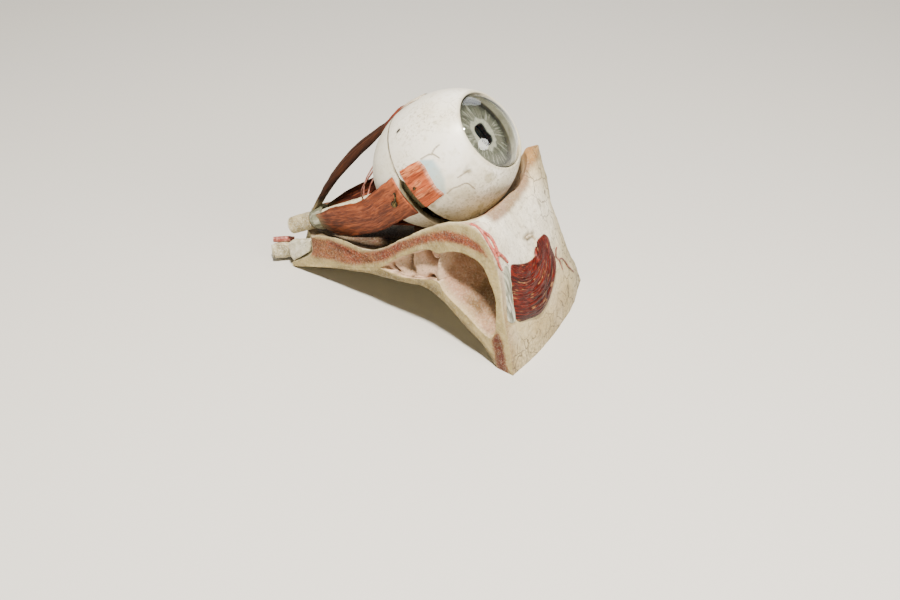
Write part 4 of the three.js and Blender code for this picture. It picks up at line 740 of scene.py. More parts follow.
lie, s, z = share[:, None], outline[..., 0], outline[..., 1]
rows = np.arange(outline.shape[1])[None, :]
mottle = grain(bone_rings, 22, 1)
is_top = ((rows >= top_start) & (rows < end_start)).astype(float)
is_face = (rows < top_start).astype(float)
is_under = (rows >= end_start).astype(float)
crest_s, crest_z = (v[:, top_start : top_start + 1] for v in (s, z))
to_crest = np.hypot(s - crest_s, z - crest_z)
far_down = ease(6, 40, s - crest_s)
floor_paint_and_shade = is_top * ease(0.01, 0.10, lie) * far_down
rim_near = bell((s - crest_s) / 8)
strip = ease(12.5, 7, to_crest + 2 * mottle) * ease(0.1, 0.18, lie) * ease(0.97, 0.85, lie)
foramen = np.exp(-(((lie - 0.40) * FACE_WIDTH / 10) ** 2) - ((z - 88 + 18 * (lie - 0.4)) / 2.6) ** 2) * is_face
paint = coats(
    "dccfa8",
    ("f0e8d2", patches(bone_rings, 30, 2, 0.0, 0.9) * 0.6),
    ("b98a66", is_top * (1 - far_down) * ease(0.02, 0.2, lie) * 0.6),
    # dark red-brown floor of the orbit: partly its own paint, partly painted shade under the eyeball and muscles; the
    # near-black patches are painted shadow
    ("4d1c11", floor_paint_and_shade * (0.8 + 0.2 * mottle)),
    ("170a05", floor_paint_and_shade * patches(bone_rings, 15, 4, -0.3, 0.4) * 0.75),
    ("fbf4e4", is_face * ease(50, 85, z) * ease(0.95, 0.7, lie) * 0.8),
    ("dcc08c", is_face * ease(98, 122, z) * ease(0.5, 0.62, lie) * 0.7),
    ("a98a4e", is_face * ease(75, 20, z) * (0.5 + 0.2 * mottle)),
    ("85602c", is_face * bell(lie / 0.06) * (0.65 + 0.25 * mottle)),
    ("8e3f2c", rim_near * ease(0.3, 0.05, lie) * patches(bone_rings, 7, 5, -0.1, 0.3) * 0.6),
    ("805838", strip * 0.85),
    ("a9743a", ease(119, 130, z) * ease(0.7, 0.76, lie) * 0.85),
    ("57442e", ease(0.25, 0.7, foramen + 0.25 * grain(bone_rings, 4, 6)) * 0.8),
    ("8f8664", is_under * 0.55),
    ("9c8f66", is_face * ease(0.72, 1.0, lie) * 0.5),
)
grime = 0.15 + 0.5 * is_face * ease(0.8, 1.0, lie) + 0.4 * is_under + 0.35 * is_face * ease(35, 5, z)
cracked = is_face * (ease(0.5, 0.8, lie) + ease(35, 10, z)) + 0.25 * is_face
outer = skin_grid(bone_rings, bone_faces, paint, grime=np.clip(grime, 0, 1), cracked=np.clip(cracked, 0, 1))
print("painted points of the bone:", len(outer[0]))

# %% Saw cuts and lining
slide = np.concatenate([[0, 0.012, 0.03], np.linspace(0.06, 0.97, CUT_ROWS - 4), [1]])
flat = first[None] + (mouth - first)[None] * slide[:, None, None]
s, z = flat[..., 0], flat[..., 1]
cut_points = on_cut(s, z, 0 * z)
cut_points[0] = bone_rings[0]
marrow = np.maximum(band(s, z, MARROW, 3.0), band(s, z, FOOT_MARROW, 3.5))
from_outer = np.linalg.norm(flat - first[None], axis=-1)
in_arch = (np.arange(len(first)) >= arch_start) * 1.0
paint = coats(
    "b39f6a",
    ("857345", patches(cut_points, 12, 7, -0.1, 0.7) * 0.6),
    ("e2d2a4", ease(3.5, 0.5, from_outer) * 0.7 * ease(20, 60, z) * (1 - in_arch)),
    # along the arch edge the cut darkens to olive-brown, partly dirt and partly painted shade
    ("55431f", ease(13, 3, from_outer) * in_arch * (0.7 + 0.2 * grain(cut_points, 8, 10))),
    ("8e2f06", marrow * (0.9 + 0.1 * grain(cut_points, 4, 9))),
    ("5c1503", marrow * patches(cut_points, 6, 11, -0.2, 0.6) * 0.6),
    # painted shade: the marrow darkens near the foot of the cut, where the cut face lies in half-shadow
    ("3c0f03", marrow * ease(45, 30, z) * ease(60, 20, s) * 0.7),
)
cut_faces = sheet_faces(len(slide), len(first), around=True)[:, ::-1]
cut = skin_grid(cut_points, cut_faces, paint, sponge=marrow, grime=0.35 * patches(cut_points, 20, 12, 0.4, -0.4))

pull = np.linspace(0, 1, CELL_ROWS) ** 1.1
hollow = mouth[None] + (SINUS_MIDDLE - mouth)[None] * pull[:, None, None]
s, z = hollow[..., 0], hollow[..., 1]
from_edge = np.linalg.norm(hollow - mouth[None], axis=-1)
depth = cell_depth(s, z) * ease(0.0, 4.5, from_edge) ** 0.8
skin = BVHTree.FromPolygons(bone_rings.reshape(-1, 3).tolist(), bone_faces.tolist())


def room(points):
    """Distance from each place to the skin of the bone, below zero where the place is outside."""
    found = [(Vector(p), *skin.find_nearest(Vector(p))) for p in points.reshape(-1, 3)]
    away = [(p - spot).dot(normal) for p, spot, normal, _, _ in found]
    return np.array(away).reshape(points.shape[:-1])


inside = np.sign(room(on_cut(np.array([70.0]), np.array([70.0]), np.array([12.0]))))
least = np.minimum(CELL_WALL, inside * room(on_cut(s, z, 0 * depth)))
for _ in range(8):
    short = least - inside * room(on_cut(s, z, depth))
    depth = np.maximum(depth - 1.2 * np.maximum(short, 0), 0)
print("cell depth to", round(float(depth.max()), 1), "mm")
cell_points = on_cut(s, z, depth)
paint = coats(
    "cfab90",
    ("9a7052", ease(86, 78, s) * 0.85),
    ("c49a7c", patches(cell_points, 11, 21, 0.0, 0.6) * 0.5),
    ("5f4029", patches(cell_points, 17, 22, -0.2, 0.5) * ease(80, 40, s) * 0.8),
    ("cdbb8e", (1 - ease(0.5, 4, from_edge)) * 0.6),
    # painted shade in the creases between the swellings of the back cells
    ("55301f", crease(s, z) * 0.8),
    ("dcc0a2", septum(s, z) * 0.7),
    # painted shadow: the deepest, upper part of the front cell goes near-black under its roof
    ("1e1008", ease(30, 48, depth) * ease(66, 80, z) * 0.95),
)
cell_faces = sheet_faces(CELL_ROWS, len(first), around=True)[:, ::-1]
cell = skin_grid(cell_points, cell_faces, paint, grime=0.3 * ease(70, 25, s) + 0.1)

last = outline[-1]
half_way = end_start + END_ROWS // 2
upper, lower = np.arange(half_way), np.concatenate([[0], np.arange(len(last) - 1, half_way - 1, -1)])
upper_3d, lower_3d = (spread(bone_rings[-1][k], 220) for k in (upper, lower))
across = np.linspace(0, 1, 14)[:, None, None]
nose_points = upper_3d + (lower_3d - upper_3d) * across
width = np.linalg.norm(lower_3d - upper_3d, axis=-1)
inner = ease(4, 9, np.minimum(across[..., 0], 1 - across[..., 0]) * width)
paint = coats(
    "d3c8a2",
    ("a99c76", patches(nose_points, 14, 31, -0.2, 0.6) * 0.6),
    ("8e4a34", inner * patches(nose_points, 24, 32, -0.3, 0.3) * 0.5),
)
nose = skin_grid(nose_points, sheet_faces(14, 220), paint, grime=0.4)

# %% [markdown]
# Worn paper is never smooth, so the whole block is given low swells of 18 mm, dents of 6 mm and a fine
# grit, moved along the surface normal.

# %% Bone piece
lumps = [(18, 0.5, 41, ""), (6, 0.28, 42, ""), (2.6, 0.14, 43, ""), (1.7, 0.55, 44, "sponge")]
make("bone_block", "orbit_bone", "orbit", "painted_bone", outer, cut, cell, nose, lumps=lumps)

# %% [markdown]
# ## Cords and straps
# A cord is a row of rings along a smooth line. Each ring turns only as much as the line bends, so it
# never twists. The attribute "grain" runs along the cord and is squeezed, so that patterns become
# streaks along the fibres.

# %% Cord helper
def cord(line, radius, sides=18, steps=90):
    """Rings along a smooth line through the points, with radii spaced evenly along it."""
    middle = spread(through(line, 500), steps)
    run = np.gradient(middle, axis=0)
    run /= np.linalg.norm(run, axis=1)[:, None]
    side = np.zeros_like(middle)
    side[0] = np.cross(run[0], (0.3, 0.2, 0.9))
    for i in range(steps):
        side[i] = side[max(i - 1, 0)]
        side[i] -= run[i] * (side[i] @ run[i])
        side[i] /= np.linalg.norm(side[i])
    up = np.cross(run, side)
    angle = once_round(sides)[..., None]
    wide = np.interp(np.linspace(0, 1, steps), np.linspace(0, 1, np.size(radius)), np.atleast_1d(radius).astype(float))
    return middle[:, None] + wide[:, None, None] * (side[:, None] * np.cos(angle) + up[:, None] * np.sin(angle))


def spun(profile, place, axis, around, rough=0.0, seed=0):
    """Rings of a turned piece: profile rows of (radius, distance along the axis), with a little roughness."""
    side = np.cross(axis, (0.2, 0.9, 0.1))
    side /= np.linalg.norm(side)
    up = np.cross(axis, side)
    angle = once_round(around)[..., None]
    wide, along = profile[:, 0, None, None], profile[:, 1, None, None]
    rings = place + along * axis + wide * (side * np.cos(angle) + up * np.sin(angle))
    if rough:
        rings = rings + rough * grain(rings, 4, seed)[..., None] * np.minimum(1, wide)
    return rings


# %% [markdown]
# The optic nerve leaves the back of the eyeball, bends to the nose side and ends in the sheath, whose
# cut end is open. The ring of tendon where the four straight muscles start sits round the nerve.

# %% Nerve, sheath and tendon ring
nerve_line = np.array([[0, -8, -65.5], [2, -8, -86], [10, -1, -114], NERVE_BEND, NERVE_END])
NERVE_RADIUS = 6.2
rings = cord(nerve_line, NERVE_RADIUS, 36, 120)
rings = rings + 0.3 * grain(rings, 5, 51)[..., None] * (rings - rings.mean(1, keepdims=True)) / NERVE_RADIUS
length = np.linalg.norm(np.diff(spread(through(nerve_line, 500), 120), axis=0), axis=1).sum()
along = polar(NERVE_RADIUS, once_round(36), np.linspace(0, 1, 120)[:, None] * length / 7.0)
paint = coats("cfc6a4", ("9c8f68", patches(along, 3, 52, -0.2, 0.6) * 0.6))
make("nerve_trunk", "optic_nerve", "eyeball", "nerve", ring_grid(from_eye(rings), paint))

profile = spread(
    [[0, 0.3], [7.6, 0.3], [7.7, 12], [7.5, sheath_length - 1.4], [6.6, sheath_length], [5.3, sheath_length - 0.5],
     [4.6, sheath_length - 5], [4.1, sheath_length - 19], [0.1, sheath_length - 20], [0, sheath_length - 20]],
    110,
)
rings = spun(profile, NERVE_END, sheath_axis, 60, 0.22, 53)
bore = (profile[:, :1] < 5.4) & (profile[:, 1:] > 3)
towards = EYE_AXES @ np.array([0.27, -0.81, 0.52])
height = (rings - NERVE_END - ((rings - NERVE_END) @ sheath_axis)[..., None] * sheath_axis) @ towards
slant = 0.35 * (height + SHEATH_RADIUS) * ease(sheath_length - 16, sheath_length, profile[:, 1:])
rings = rings - slant[..., None] * sheath_axis
paint = coats(
    "b5a57c",
    ("77694a", patches(rings, 6, 54, -0.3, 0.5) * 0.7),
    ("e6dec4", ease(sheath_length - 3, sheath_length - 0.5, profile[:, 1:]) * 0.7),
    # painted shade: the bore darkens inward from its open end
    ("4a2f22", bore * ease(sheath_length - 1, sheath_length - 7, profile[:, 1:])),
)
make("nerve_sheath_end", "nerve_sheath", "eyeball", "nerve", ring_grid(from_eye(rings), paint))

profile = spread([[7.4, -6.5], [10.6, -6.5], [10.9, -2], [10.5, 2.2], [7.8, 6.5], [7.4, 6.3], [7.4, -6.5]], 90)[:-1]
rings = spun(profile, tendon_middle, tendon_axis, 72)
along = stack(TENDON_RADIUS * once_round(72), profile[:, :1], profile[:, 1:] / 5)
rings = rings + 0.5 * (grain(along, 2.5, 55) * (profile[:, :1] > 8))[..., None] * (rings - tendon_middle) / 10
paint = coats("80826a", ("454431", patches(along, 2.2, 56, -0.3, 0.5) * 0.8))
tendon_ring = ring_grid(from_eye(rings), paint, closed=True, grain=along)
make("tendon_root", "tendon_ring", "eyeball", "tendon", tendon_ring)

# %% [markdown]
# ## Straight muscles
# Each muscle is a strap of pasteboard, built up with paste to a lens-shaped section and combed along its
# length while wet. It starts at the ring of tendon, bows over the nerve, lands on the eyeball and ends
# at the seam, where its painted insertion goes on over the front half.

# %% Straps
tendon_front = tendon_middle - tendon_axis * (TENDON_LENGTH / 2 + 0.3)
MUSCLE_LEAVES_Z, STRAP_ROWS, STRAP_SIDES = -30.0, 170, 56
SHUT_SEAM, OPEN_SEAM = 12.0, -20.0  # places up the eye where the seam is shut and where it gapes


def on_eye(z):
    """Radius of the eyeball at a height in its own axes."""
    return EYE_RADIUS * np.sqrt(np.maximum(0, 1 - (np.asarray(z, float) / EYE_LENGTH) ** 2))


def seam(x, front):
    """Edge of each half at a place up the eye: shut above, and gaping towards the underside."""
    gape = 1 - ease(4, 14, x)
    return -11.85 + 3.85 * gape if front else -12.15 - 5.85 * gape


def strap(side, across, bow, fat, width, shift, sag, roll, seed):
    """Rings of a muscle in the eye's axes, their grain coordinates, share of the length and side angle.
    Near its root the strap sags to one side, and half way along its section is rolled by an angle."""
    side, across, bow = (np.array(v, float) for v in (side, across, bow))
    root_out, root_shift, root_z = tendon_front @ side + NERVE_RADIUS + 1.6, tendon_front @ across, tendon_front[2] - 4
    t = np.linspace(0, 1, 10)
    z = root_z + (MUSCLE_LEAVES_Z - root_z) * t
    end_z = seam(SHUT_SEAM if side[0] > 0 else OPEN_SEAM, False)
    out = root_out + (on_eye(MUSCLE_LEAVES_Z) + 1.6 - root_out) * t + flow(bow[:, 0], bow[:, 1], t)
    half = flow([0, 0.1, 0.24, 0.6, 1], [7, width * 0.66, width * 0.86, width * 0.9, width], t)
    thick = flow([0, 0.25, 0.7, 1], [2, fat, fat, fat * 0.62], t)
    moved = root_shift + (shift - root_shift) * np.minimum(1, t * 1.6) - sag * t / 0.16 * np.exp(1 - t / 0.16)
    keys = np.stack([z, out, moved, half, thick, t * t], -1)
    keys = np.concatenate([keys, [[end_z - 0.3, on_eye(end_z) + 1, shift, width * 1.08, 1.5, 1]]])
    z, out, moved, half, thick, bend = spread(through(keys, 300), STRAP_ROWS).T[..., None]
    angle = once_round(STRAP_SIDES)
    x, high = half * np.cos(angle), np.sin(angle)
    along = stack(x, thick * high, z / 8)
    x = x * (1 + 0.035 * grain(stack(np.sign(x) * 3, 0, z), 7, seed))
    comb = 0.42 * grain(along, 2.1, seed) + 0.2 * grain(along, 0.9, seed + 1)
    lift = thick * np.sign(high) * np.abs(high) ** 0.7 + comb * high * ease(0, 2, thick)
    level = np.linspace(0, 1, STRAP_ROWS)[:, None] + 0 * angle
    turn = roll * np.sin(math.pi * np.minimum(1, level * 1.1)) ** 1.5
    over, up = x * np.cos(turn) + lift * np.sin(turn), lift * np.cos(turn) - x * np.sin(turn)
    place = (out + up - 0.5 / EYE_RADIUS * bend * x * x)[..., None] * side + (moved + over)[..., None] * across
    place[..., 2] = z
    return off_spheroid(place, EYE_RADIUS + 0.3, EYE_LENGTH + 0.3), along, level, high + 0 * z, x / half


def muscle_paint(along, level, high, base, dark, light, seed):
    """Brick red with light and dark strokes along the fibres. Painted shade darkens the edges and the
    underside, and the light strokes keep to the upper side as a painted highlight.
    """
    return coats(
        base,
        (dark, patches(along, 4, seed, -0.1, 0.7) * 0.65),
        # painted highlight: the light strokes keep to the upper side
        (light, patches(along, 1.8, seed + 3, 0.15, 0.75) * 0.7 * ease(-0.2, 0.6, high)),
        # painted shade on the edges and the underside
        (dark, ease(0.3, -0.5, high) * 0.8),
        (dark, ease(0.4, 0.12, level) * 0.5),
        ("857c5c", ease(0.13, 0.02, level) * 0.8),
    )


SIDES = {
    "superior": ((1, 0, 0), (0, 1, 0)), "lateral": ((0, 1, 0), (1, 0, 0)),
    "inferior": ((-1, 0, 0), (0, 1, 0)), "medial": ((0, -1, 0), (1, 0, 0)),
}
UPPER_BOW = [[0, 2.5], [0.12, 5], [0.32, 7.6], [0.6, 6.6], [0.8, 3.2], [1, 0]]
MUSCLES = {
    "superior": (UPPER_BOW, 3.52, 12.5, -6, 0, 0.3, "351a0c", "160904", "5a2f16"),
    "lateral": ([[0, 0], [0.5, 2], [1, 0]], 3.2, 17, -1, 3.4, 0, "7c3a1b", "38150a", "ab5c32"),
    # the inferior muscle is painted darker as painted shade, so it merges with the shaded floor under the eyeball
    "inferior": ([[0, 0], [0.5, -4], [1, 0]], 2.24, 12, 0, 0, 0, "5f2013", "2c0f08", "8c3c26"),
    "medial": ([[0, 0], [0.5, 1], [1, 0]], 2.88, 13.5, 2, 0, 0, "6f2d1a", "35130a", "9c4f2e"),
}
for number, (name, (*form, base, dark, light)) in enumerate(MUSCLES.items()):
    rings, along, level, high, over = strap(*SIDES[name], *form, 60 + 10 * number)
    paint = muscle_paint(along, level, high, base, dark, light, 64 + 10 * number)
    finish = None
    if name == "superior":
        finish = strap_finish
        pale = ease(-0.8, -0.97, over) * patches(along, 3, 66, -0.6, 0.3)
        paint = coats(paint, ("b9806c", pale), ("7e3524", ease(0.84, 0.97, level) * 0.75))
    if name == "lateral":
        paint = coats(
            paint,
            ("bb6238", ease(0.78, 0.99, level) * 0.55 * ease(-0.4, 0.5, high)),
            # painted shade along the lower edge of the lateral muscle
            ("431a0e", ease(-0.35, -0.95, over) * 0.75),
        )
    muscle = ring_grid(from_eye(rings), paint, grain=along)
    make(name + "_muscle", name + "_rectus", "eyeball", "eye_muscle", muscle, finish=finish)

# %% [markdown]
# The insertion of a muscle is a low patch of paste, painted like the muscle, that follows the eyeball.
# It is a grid over the eyeball's own surface. Its front edge is cut in scallops, and its height fades
# to nothing at the rim.

# %% Insertions
LATERAL_EDGE = [[-18.6, 7.5], [-17.6, 13.6], [-12.4, 13.1], [-5.1, 13.5], [3.8, 15.7], [11, 16.1], [16.2, 14.4],
                [18, 8]]
INSERTIONS = {
    "superior": (-6, 11, 14.0, "8a4029", "451b10", "b56a48"),
    "lateral": (-0.3, 18.3, None, "b9582f", "81351a", "d98a5c"),
    "inferior": (0, 12.9, 14.0, "7c2c18", "3f150b", "a04a2c"),
    "medial": (2, 12.7, 15.0, "8f4226", "4c1f10", "b56a42"),
}


def lateral_edge(x):
    """Height of the drawn front edge of the lateral muscle at each place across."""
    return np.interp(x, *np.transpose(LATERAL_EDGE))


for number, (name, (shift, half, end_z, base, dark, light)) in enumerate(INSERTIONS.items()):
    side, across = (np.array(v) for v in SIDES[name])
    v, u = np.meshgrid(np.linspace(-1, 1, 110), np.linspace(0, 1, 64))
    x = shift + half * v * (1 - 0.05 * u) + 0.4 * grain(stack(u * 30, np.sign(v) * 9, 0), 5, 100 + number)
    start = seam(SHUT_SEAM if side[0] > 0 else OPEN_SEAM, True) + 0.3
    edge = lateral_edge(x) if end_z is None else end_z - 2.5 * v**4
    z = start + (edge + 0.7 * grain(stack(x, 0, 0), 4, 104 + number) - start) * u
    along = stack(x, 0, z / 8)
    rim = np.minimum(ease(0, 0.05, 1 - np.abs(v)), ease(0, 0.06, 1 - u)) * ease(-0.02, 0.02, u)
    bulk = 0.12 + 0.9 * rim * (1 - 0.55 * u) + 0.16 * rim * grain(along, 2.2, 108 + number)
    faces = []
    for height in (0.3 + bulk, 0.3 + 0 * bulk):
        out = np.sqrt((on_eye(z) + height) ** 2 - x**2)[..., None] * side + x[..., None] * across
        out[..., 2] = z
        faces.append(out)
    paint = muscle_paint(along, 0 * u + 0.5, 0 * u + 1, base, dark, light, 110 + number)
    paint = coats(paint, ("e0b9a0", ease(0.82, 1.0, u) * 0.5))
    if name == "superior":
        paint = coats(paint, ("dcd3bb", ease(0.15, 0.6, u + 0.15 * grain(along, 3, 116))))
    rings, paint, along = (
        np.concatenate([a, b[:, ::-1]], axis=1) for a, b in (faces, (paint, paint), (along, along))
    )
    patch = ring_grid(from_eye(rings), paint, grain=along)
    make(name + "_patch", name + "_insertion", "front_segment", "eye_muscle", patch)

# %% [markdown]
# ## Shells of the eyeball
# The eyeball is two cups of pressed paper that meet at a seam. Rows run along the meridian of each shell
# and back inside, so a cup is one closed sheet with a real wall. The edge of each half is a function of
# the angle: shut above and open by a finger's width below, where the collar shows.

# %% Back half
angle = once_round(380)
CUP_WALL, LINING_PAINT, EDGE_PAINT = 5, "3a1d16", tint("4d422c")


def cup(inset, low, high, count):
    """Meridian arcs, set in from the eyeball's surface, from one height to another at every angle."""
    radius, length = EYE_RADIUS - inset, EYE_LENGTH - inset
    low, high = (np.arcsin(np.clip(np.broadcast_to(v, angle.shape) / length, -1, 1)) for v in (low, high))
    tilt = low + (high - low) * np.linspace(0, 1, count)[:, None]
    return polar(radius * np.cos(tilt), angle, length * np.sin(tilt))


def nick(seed, amount=0.25):
    """Small wear along an edge that goes once round the eye."""
    return amount * grain(polar(50, angle, 0), 6, seed)


def near_line(points, lines, softness):
    """How near a place is to drawn lines on the eyeball: 1 on the line and 0 beyond the softness in mm."""
    share = 0
    for line in lines:
        gap = np.min([np.linalg.norm(points - spot, axis=-1) for spot in spread(through(line, 200), 60)], axis=0)
        share = np.maximum(share, 1 - ease(softness * 0.3, softness, gap))
    return share


def shell_piece(name, node, body, slot, local, paint, marks=True):
    """Closed shell from rows in the eye's axes that end where they start."""
    extra = {}
    if marks:
        speck = patches(local, 30, 131, 0.1, 0.9) * 0.6 + 0.55 * ease(-8, -34, local[..., 0])
        extra = {"cracked": patches(local, 40, 132, -0.2, 0.6), "grime": np.clip(speck, 0, 1)}
    make(name, node, body, slot, ring_grid(from_eye(local), paint, closed=True, **extra))


edge = seam(EYE_RADIUS * np.cos(angle), False) - np.abs(nick(133))
outer = cup(0, -EYE_LENGTH, edge - 0.5, 130)
inner = cup(CUP_WALL, edge - 0.3, -(EYE_LENGTH - CUP_WALL), 40)
lip = [cup(inset, edge - drop, edge - drop, 1) for inset, drop in ((0.35, 0.1), (0.8, 0), (4.5, 0))]
shell = np.concatenate([outer, *lip, inner])
below = edge - shell[..., 2]
paint = coats(
    "ece7d6",
    ("b3ad8a", patches(shell, 34, 134, -0.2, 0.7) * 0.7),
    ("ebe6d4", patches(shell, 20, 135, 0.1, 0.7) * 0.5),
    ("f3eddc", bell((below - 1.9) / 0.9) * 0.6),
    ("4f4530", ease(1.3, 0.4, below) * 0.85),
)
paint[len(outer) :] = EDGE_PAINT
shell_piece("eye_back_cup", "sclera_back", "eyeball", "sclera", shell, paint)

# %% [markdown]
# Inside the back half sit two thin cups, the dark choroid and the retina with its painted vessels. A
# torn collar of pasteboard stands up from them and lines up the two halves.

# %% Inner cups and collar
for name, gap, wall, colour in (("choroid", 5.3, 1.4, LINING_PAINT), ("retina", 7.0, 1.3, "d08f52")):
    outer = cup(gap, -(EYE_LENGTH - gap), -27.3, 60)
    shell = np.concatenate([outer, cup(gap + wall, -27.3, -(EYE_LENGTH - gap - wall), 60)])
    paint = coats(colour, ("2a120d", patches(shell, 18, 136, -0.2, 0.8) * 0.4))
    shell_piece(name + "_cup", name + "_back", "eyeball", name, shell, paint, marks=False)

shell = np.concatenate([cup(5.3, 0.0, 26.6, 40), cup(6.7, 26.6, 0.0, 40)])
paint = coats(LINING_PAINT, ("241009", patches(shell, 12, 137, -0.2, 0.8) * 0.5))
shell_piece("choroid_lining", "choroid_front", "front_segment", "choroid", shell, paint, marks=False)

COLLAR_HALF = math.radians(113.5)
turn = np.linspace(-COLLAR_HALF, COLLAR_HALF, 240)[:, None]
ends = ease(0, 0.10, np.abs(np.abs(turn) - COLLAR_HALF) / COLLAR_HALF)
torn = -2.0 - 1.1 * np.abs(grain(polar(60, turn, 0), 7, 138)) - 9 * (1 - ends)
rows = np.linspace(0, 1, 26)[None, :]
height = -27 + (torn + 27) * np.concatenate([rows, rows[:, ::-1]], axis=1)
inset = np.repeat([[6.25, 7.65]], 26, axis=1)
collar = polar((EYE_RADIUS - inset) * np.cos(np.arcsin(height / (EYE_LENGTH - inset))), turn, height)
paint = coats(
    "7f7a58", ("4f4c36", patches(collar, 9, 139, -0.3, 0.6) * 0.7), ("b3ac84", ease(1.6, 0.2, torn - height) * 0.6)
)
make("paper_collar", "locating_collar", "eyeball", "card", ring_grid(from_eye(collar), paint))

# %% [markdown]
# The front half carries the window of the eye: a thick rim, a ledge for the cornea and a chamber behind
# it. Its ivory paint is lighter in patches and turns darker and more olive towards the underside of the
# eye. Lateral tendon, hair cracks and old stains are drawn on it in the places they have in the photograph.

# %% Front half
LIMBUS_Z, CHAMBER_FLOOR = 52.0, 35.7
CRACK_LINES = [
    [[16.2, 50.7, 15.7], [15.5, 48.9, 23.5], [13.5, 48.4, 26.8], [8.7, 48.6, 29.3]],
    [[14.5, 48.7, 25.1], [16.6, 46.4, 29.5], [17, 44.3, 33.8]],
    [[-18.4, 49.9, 15.8], [-17.4, 48.9, 21.4], [-18.7, 47, 25.9], [-20.7, 43.4, 32.5], [-28.6, 38.8, 32.2]],
    [[-12.5, 47, 31.2], [-12.8, 45.2, 34.9], [-13, 43, 38.9]],
]
DASH = [[[43.3, 33.4, 0.5], [43.6, 33.0, 1.5], [43.8, 32.7, 2.6]]]
STAINS = [(-12.8, 42.4, 39.9, 3.0), (-43.2, 16.9, 36.1, 8), (-43.1, 29.4, 20.3, 10), (-37.8, 39.5, 1.6, 9),
          (-30, 40, 25, 7)]
TENDON_TOP = [(-18, 17), (-17.4, 17.9), (-7.6, 25.4), (1, 27.5), (10.3, 27.1), (15.4, 18.8), (16, 17)]
edge = seam(EYE_RADIUS * np.cos(angle), True) + np.abs(nick(140))
outer = cup(0, edge + 0.5, LIMBUS_Z - 0.7, 180)
rim = [(35.35, LIMBUS_Z - 0.25), (34.9, LIMBUS_Z + 0.1), (34.1, LIMBUS_Z), (33.85, LIMBUS_Z - 0.3)]
rim += [(33.85, 50.1), (33, 50.1)] + [(33, z) for z in np.linspace(49, 36.5, 18)]
rim += [(33, CHAMBER_FLOOR), (40.3, CHAMBER_FLOOR), (40.6, 30)]
bed = [polar(r, angle, z + 0.12 * nick(141 + i, 1.0)) for i, (r, z) in enumerate(rim)]
lip = [cup(inset, edge + drop, edge + drop, 1) for inset, drop in ((4.5, 0), (0.8, 0), (0.35, 0.1))]
shell = np.concatenate([outer, *bed, cup(CUP_WALL, 26.9, edge + 0.3, 16), *lip])
x, y, z = (shell[..., k] for k in range(3))
tendon_top = np.interp(x, *np.transpose(TENDON_TOP), left=-99, right=-99)
tendon_low = lateral_edge(x) - 1
chamber = np.arange(len(shell))[:, None]
wall = ((chamber >= len(outer) + 4) & (chamber < len(outer) + len(bed))) * 1.0 + 0 * z
stains = []
for sx, sy, sz, size in STAINS:
    spot = bell((np.linalg.norm(shell - (sx, sy, sz), axis=-1) + 1.5 * grain(shell, 3, 153)) / size)
    stains.append(("6f6443", spot * 0.9) if size < 4 else ("9a9068", spot * 0.45))
paint = coats(
    "f0eadb",
    ("f8f4ea", patches(shell, 26, 150, 0.0, 0.8) * 0.6),
    ("b3a67a", ease(0, -42, x) * patches(shell, 22, 151, -0.5, 0.6) * 0.75),
    ("8f8459", patches(shell, 9, 152, 0.3, 0.9) * ease(10, -35, x) * 0.6),
    ("a3bfc4", ease(0, 5, tendon_top - z) * ease(-1, 1, z - tendon_low) * (y > 0) * 0.9),
    ("67553a", near_line(shell, CRACK_LINES, 0.9) * 0.8),
    ("120c08", near_line(shell, DASH, 2.2)),
    *stains,
    ("4a3f2a", ease(1.1, 0.3, z - edge) * 0.85),
    ("a39a78", bell((z - LIMBUS_Z) / 1.3) * 0.5),
    ("e9e0c0", wall * 0.9),
    ("6b5638", wall * patches(shell, 9, 154, 0.1, 0.7) * 0.35),
    # painted shade under the ledge at the top of the chamber wall, and painted shadow at its foot beside the iris
    ("4a3526", wall * ease(49.2, 50.4, z) * 0.7),
    ("2b1f14", wall * ease(44.2, 42.6, z) * 0.9),
)
paint[len(outer) + len(bed) :] = EDGE_PAINT
shell_piece("eye_front_cup", "sclera_front", "front_segment", "sclera", shell, paint)

# %% [markdown]
# ## Iris, ciliary ring and glass
# The iris is a painted disc with a raised frill round the pupil. Its fibres are strokes from the rim
# inwards: noise that changes fast round the disc and slowly along the radius. The pupil isn't a true
# circle on the object, so its edge is a circle with a slow oval and a small scallop.

# %% Iris
turn = once_round(420)
IRIS_RADIUS = 30.45


def round_noise(radius, rows, size, seed):
    """Noise that goes once round a disc without a seam; rows give the slow coordinate."""
    return grain(polar(radius, turn, rows), size, seed)


pupil = 9.0 * (1 + 0.12 * np.cos(2 * turn) + 0.10 * np.cos(4 * turn + math.pi)) + 0.5 * round_noise(9, 0, 2.4, 161)
frill = 14.6 + 1.8 * round_noise(12, 0, 3.6, 162)
share = np.linspace(0, 1, 90)[:, None]
radius = IRIS_RADIUS - (IRIS_RADIUS - pupil) * share
fibre = round_noise(34, radius * 0.12, 1.5, 163)
coarse = round_noise(34, radius * 0.2, 4.0, 164)
in_frill = ease(1.2, -1.2, radius - frill)
height = 41.5 + 2.0 * ease(0, 0.62, share) + 0.22 * fibre * (1 - in_frill) + 0.5 * in_frill * (1 + 0.5 * coarse)
front = polar(radius, turn, height - 1.0 * ease(pupil + 1.0, pupil, radius))
back = front[::-1][::6].copy()
crown = 41.0 + 1.0 * ease(0, 0.62, (IRIS_RADIUS - np.hypot(back[..., 0], back[..., 1])) / 22)
back[..., 2] = np.minimum(crown, 42.3)
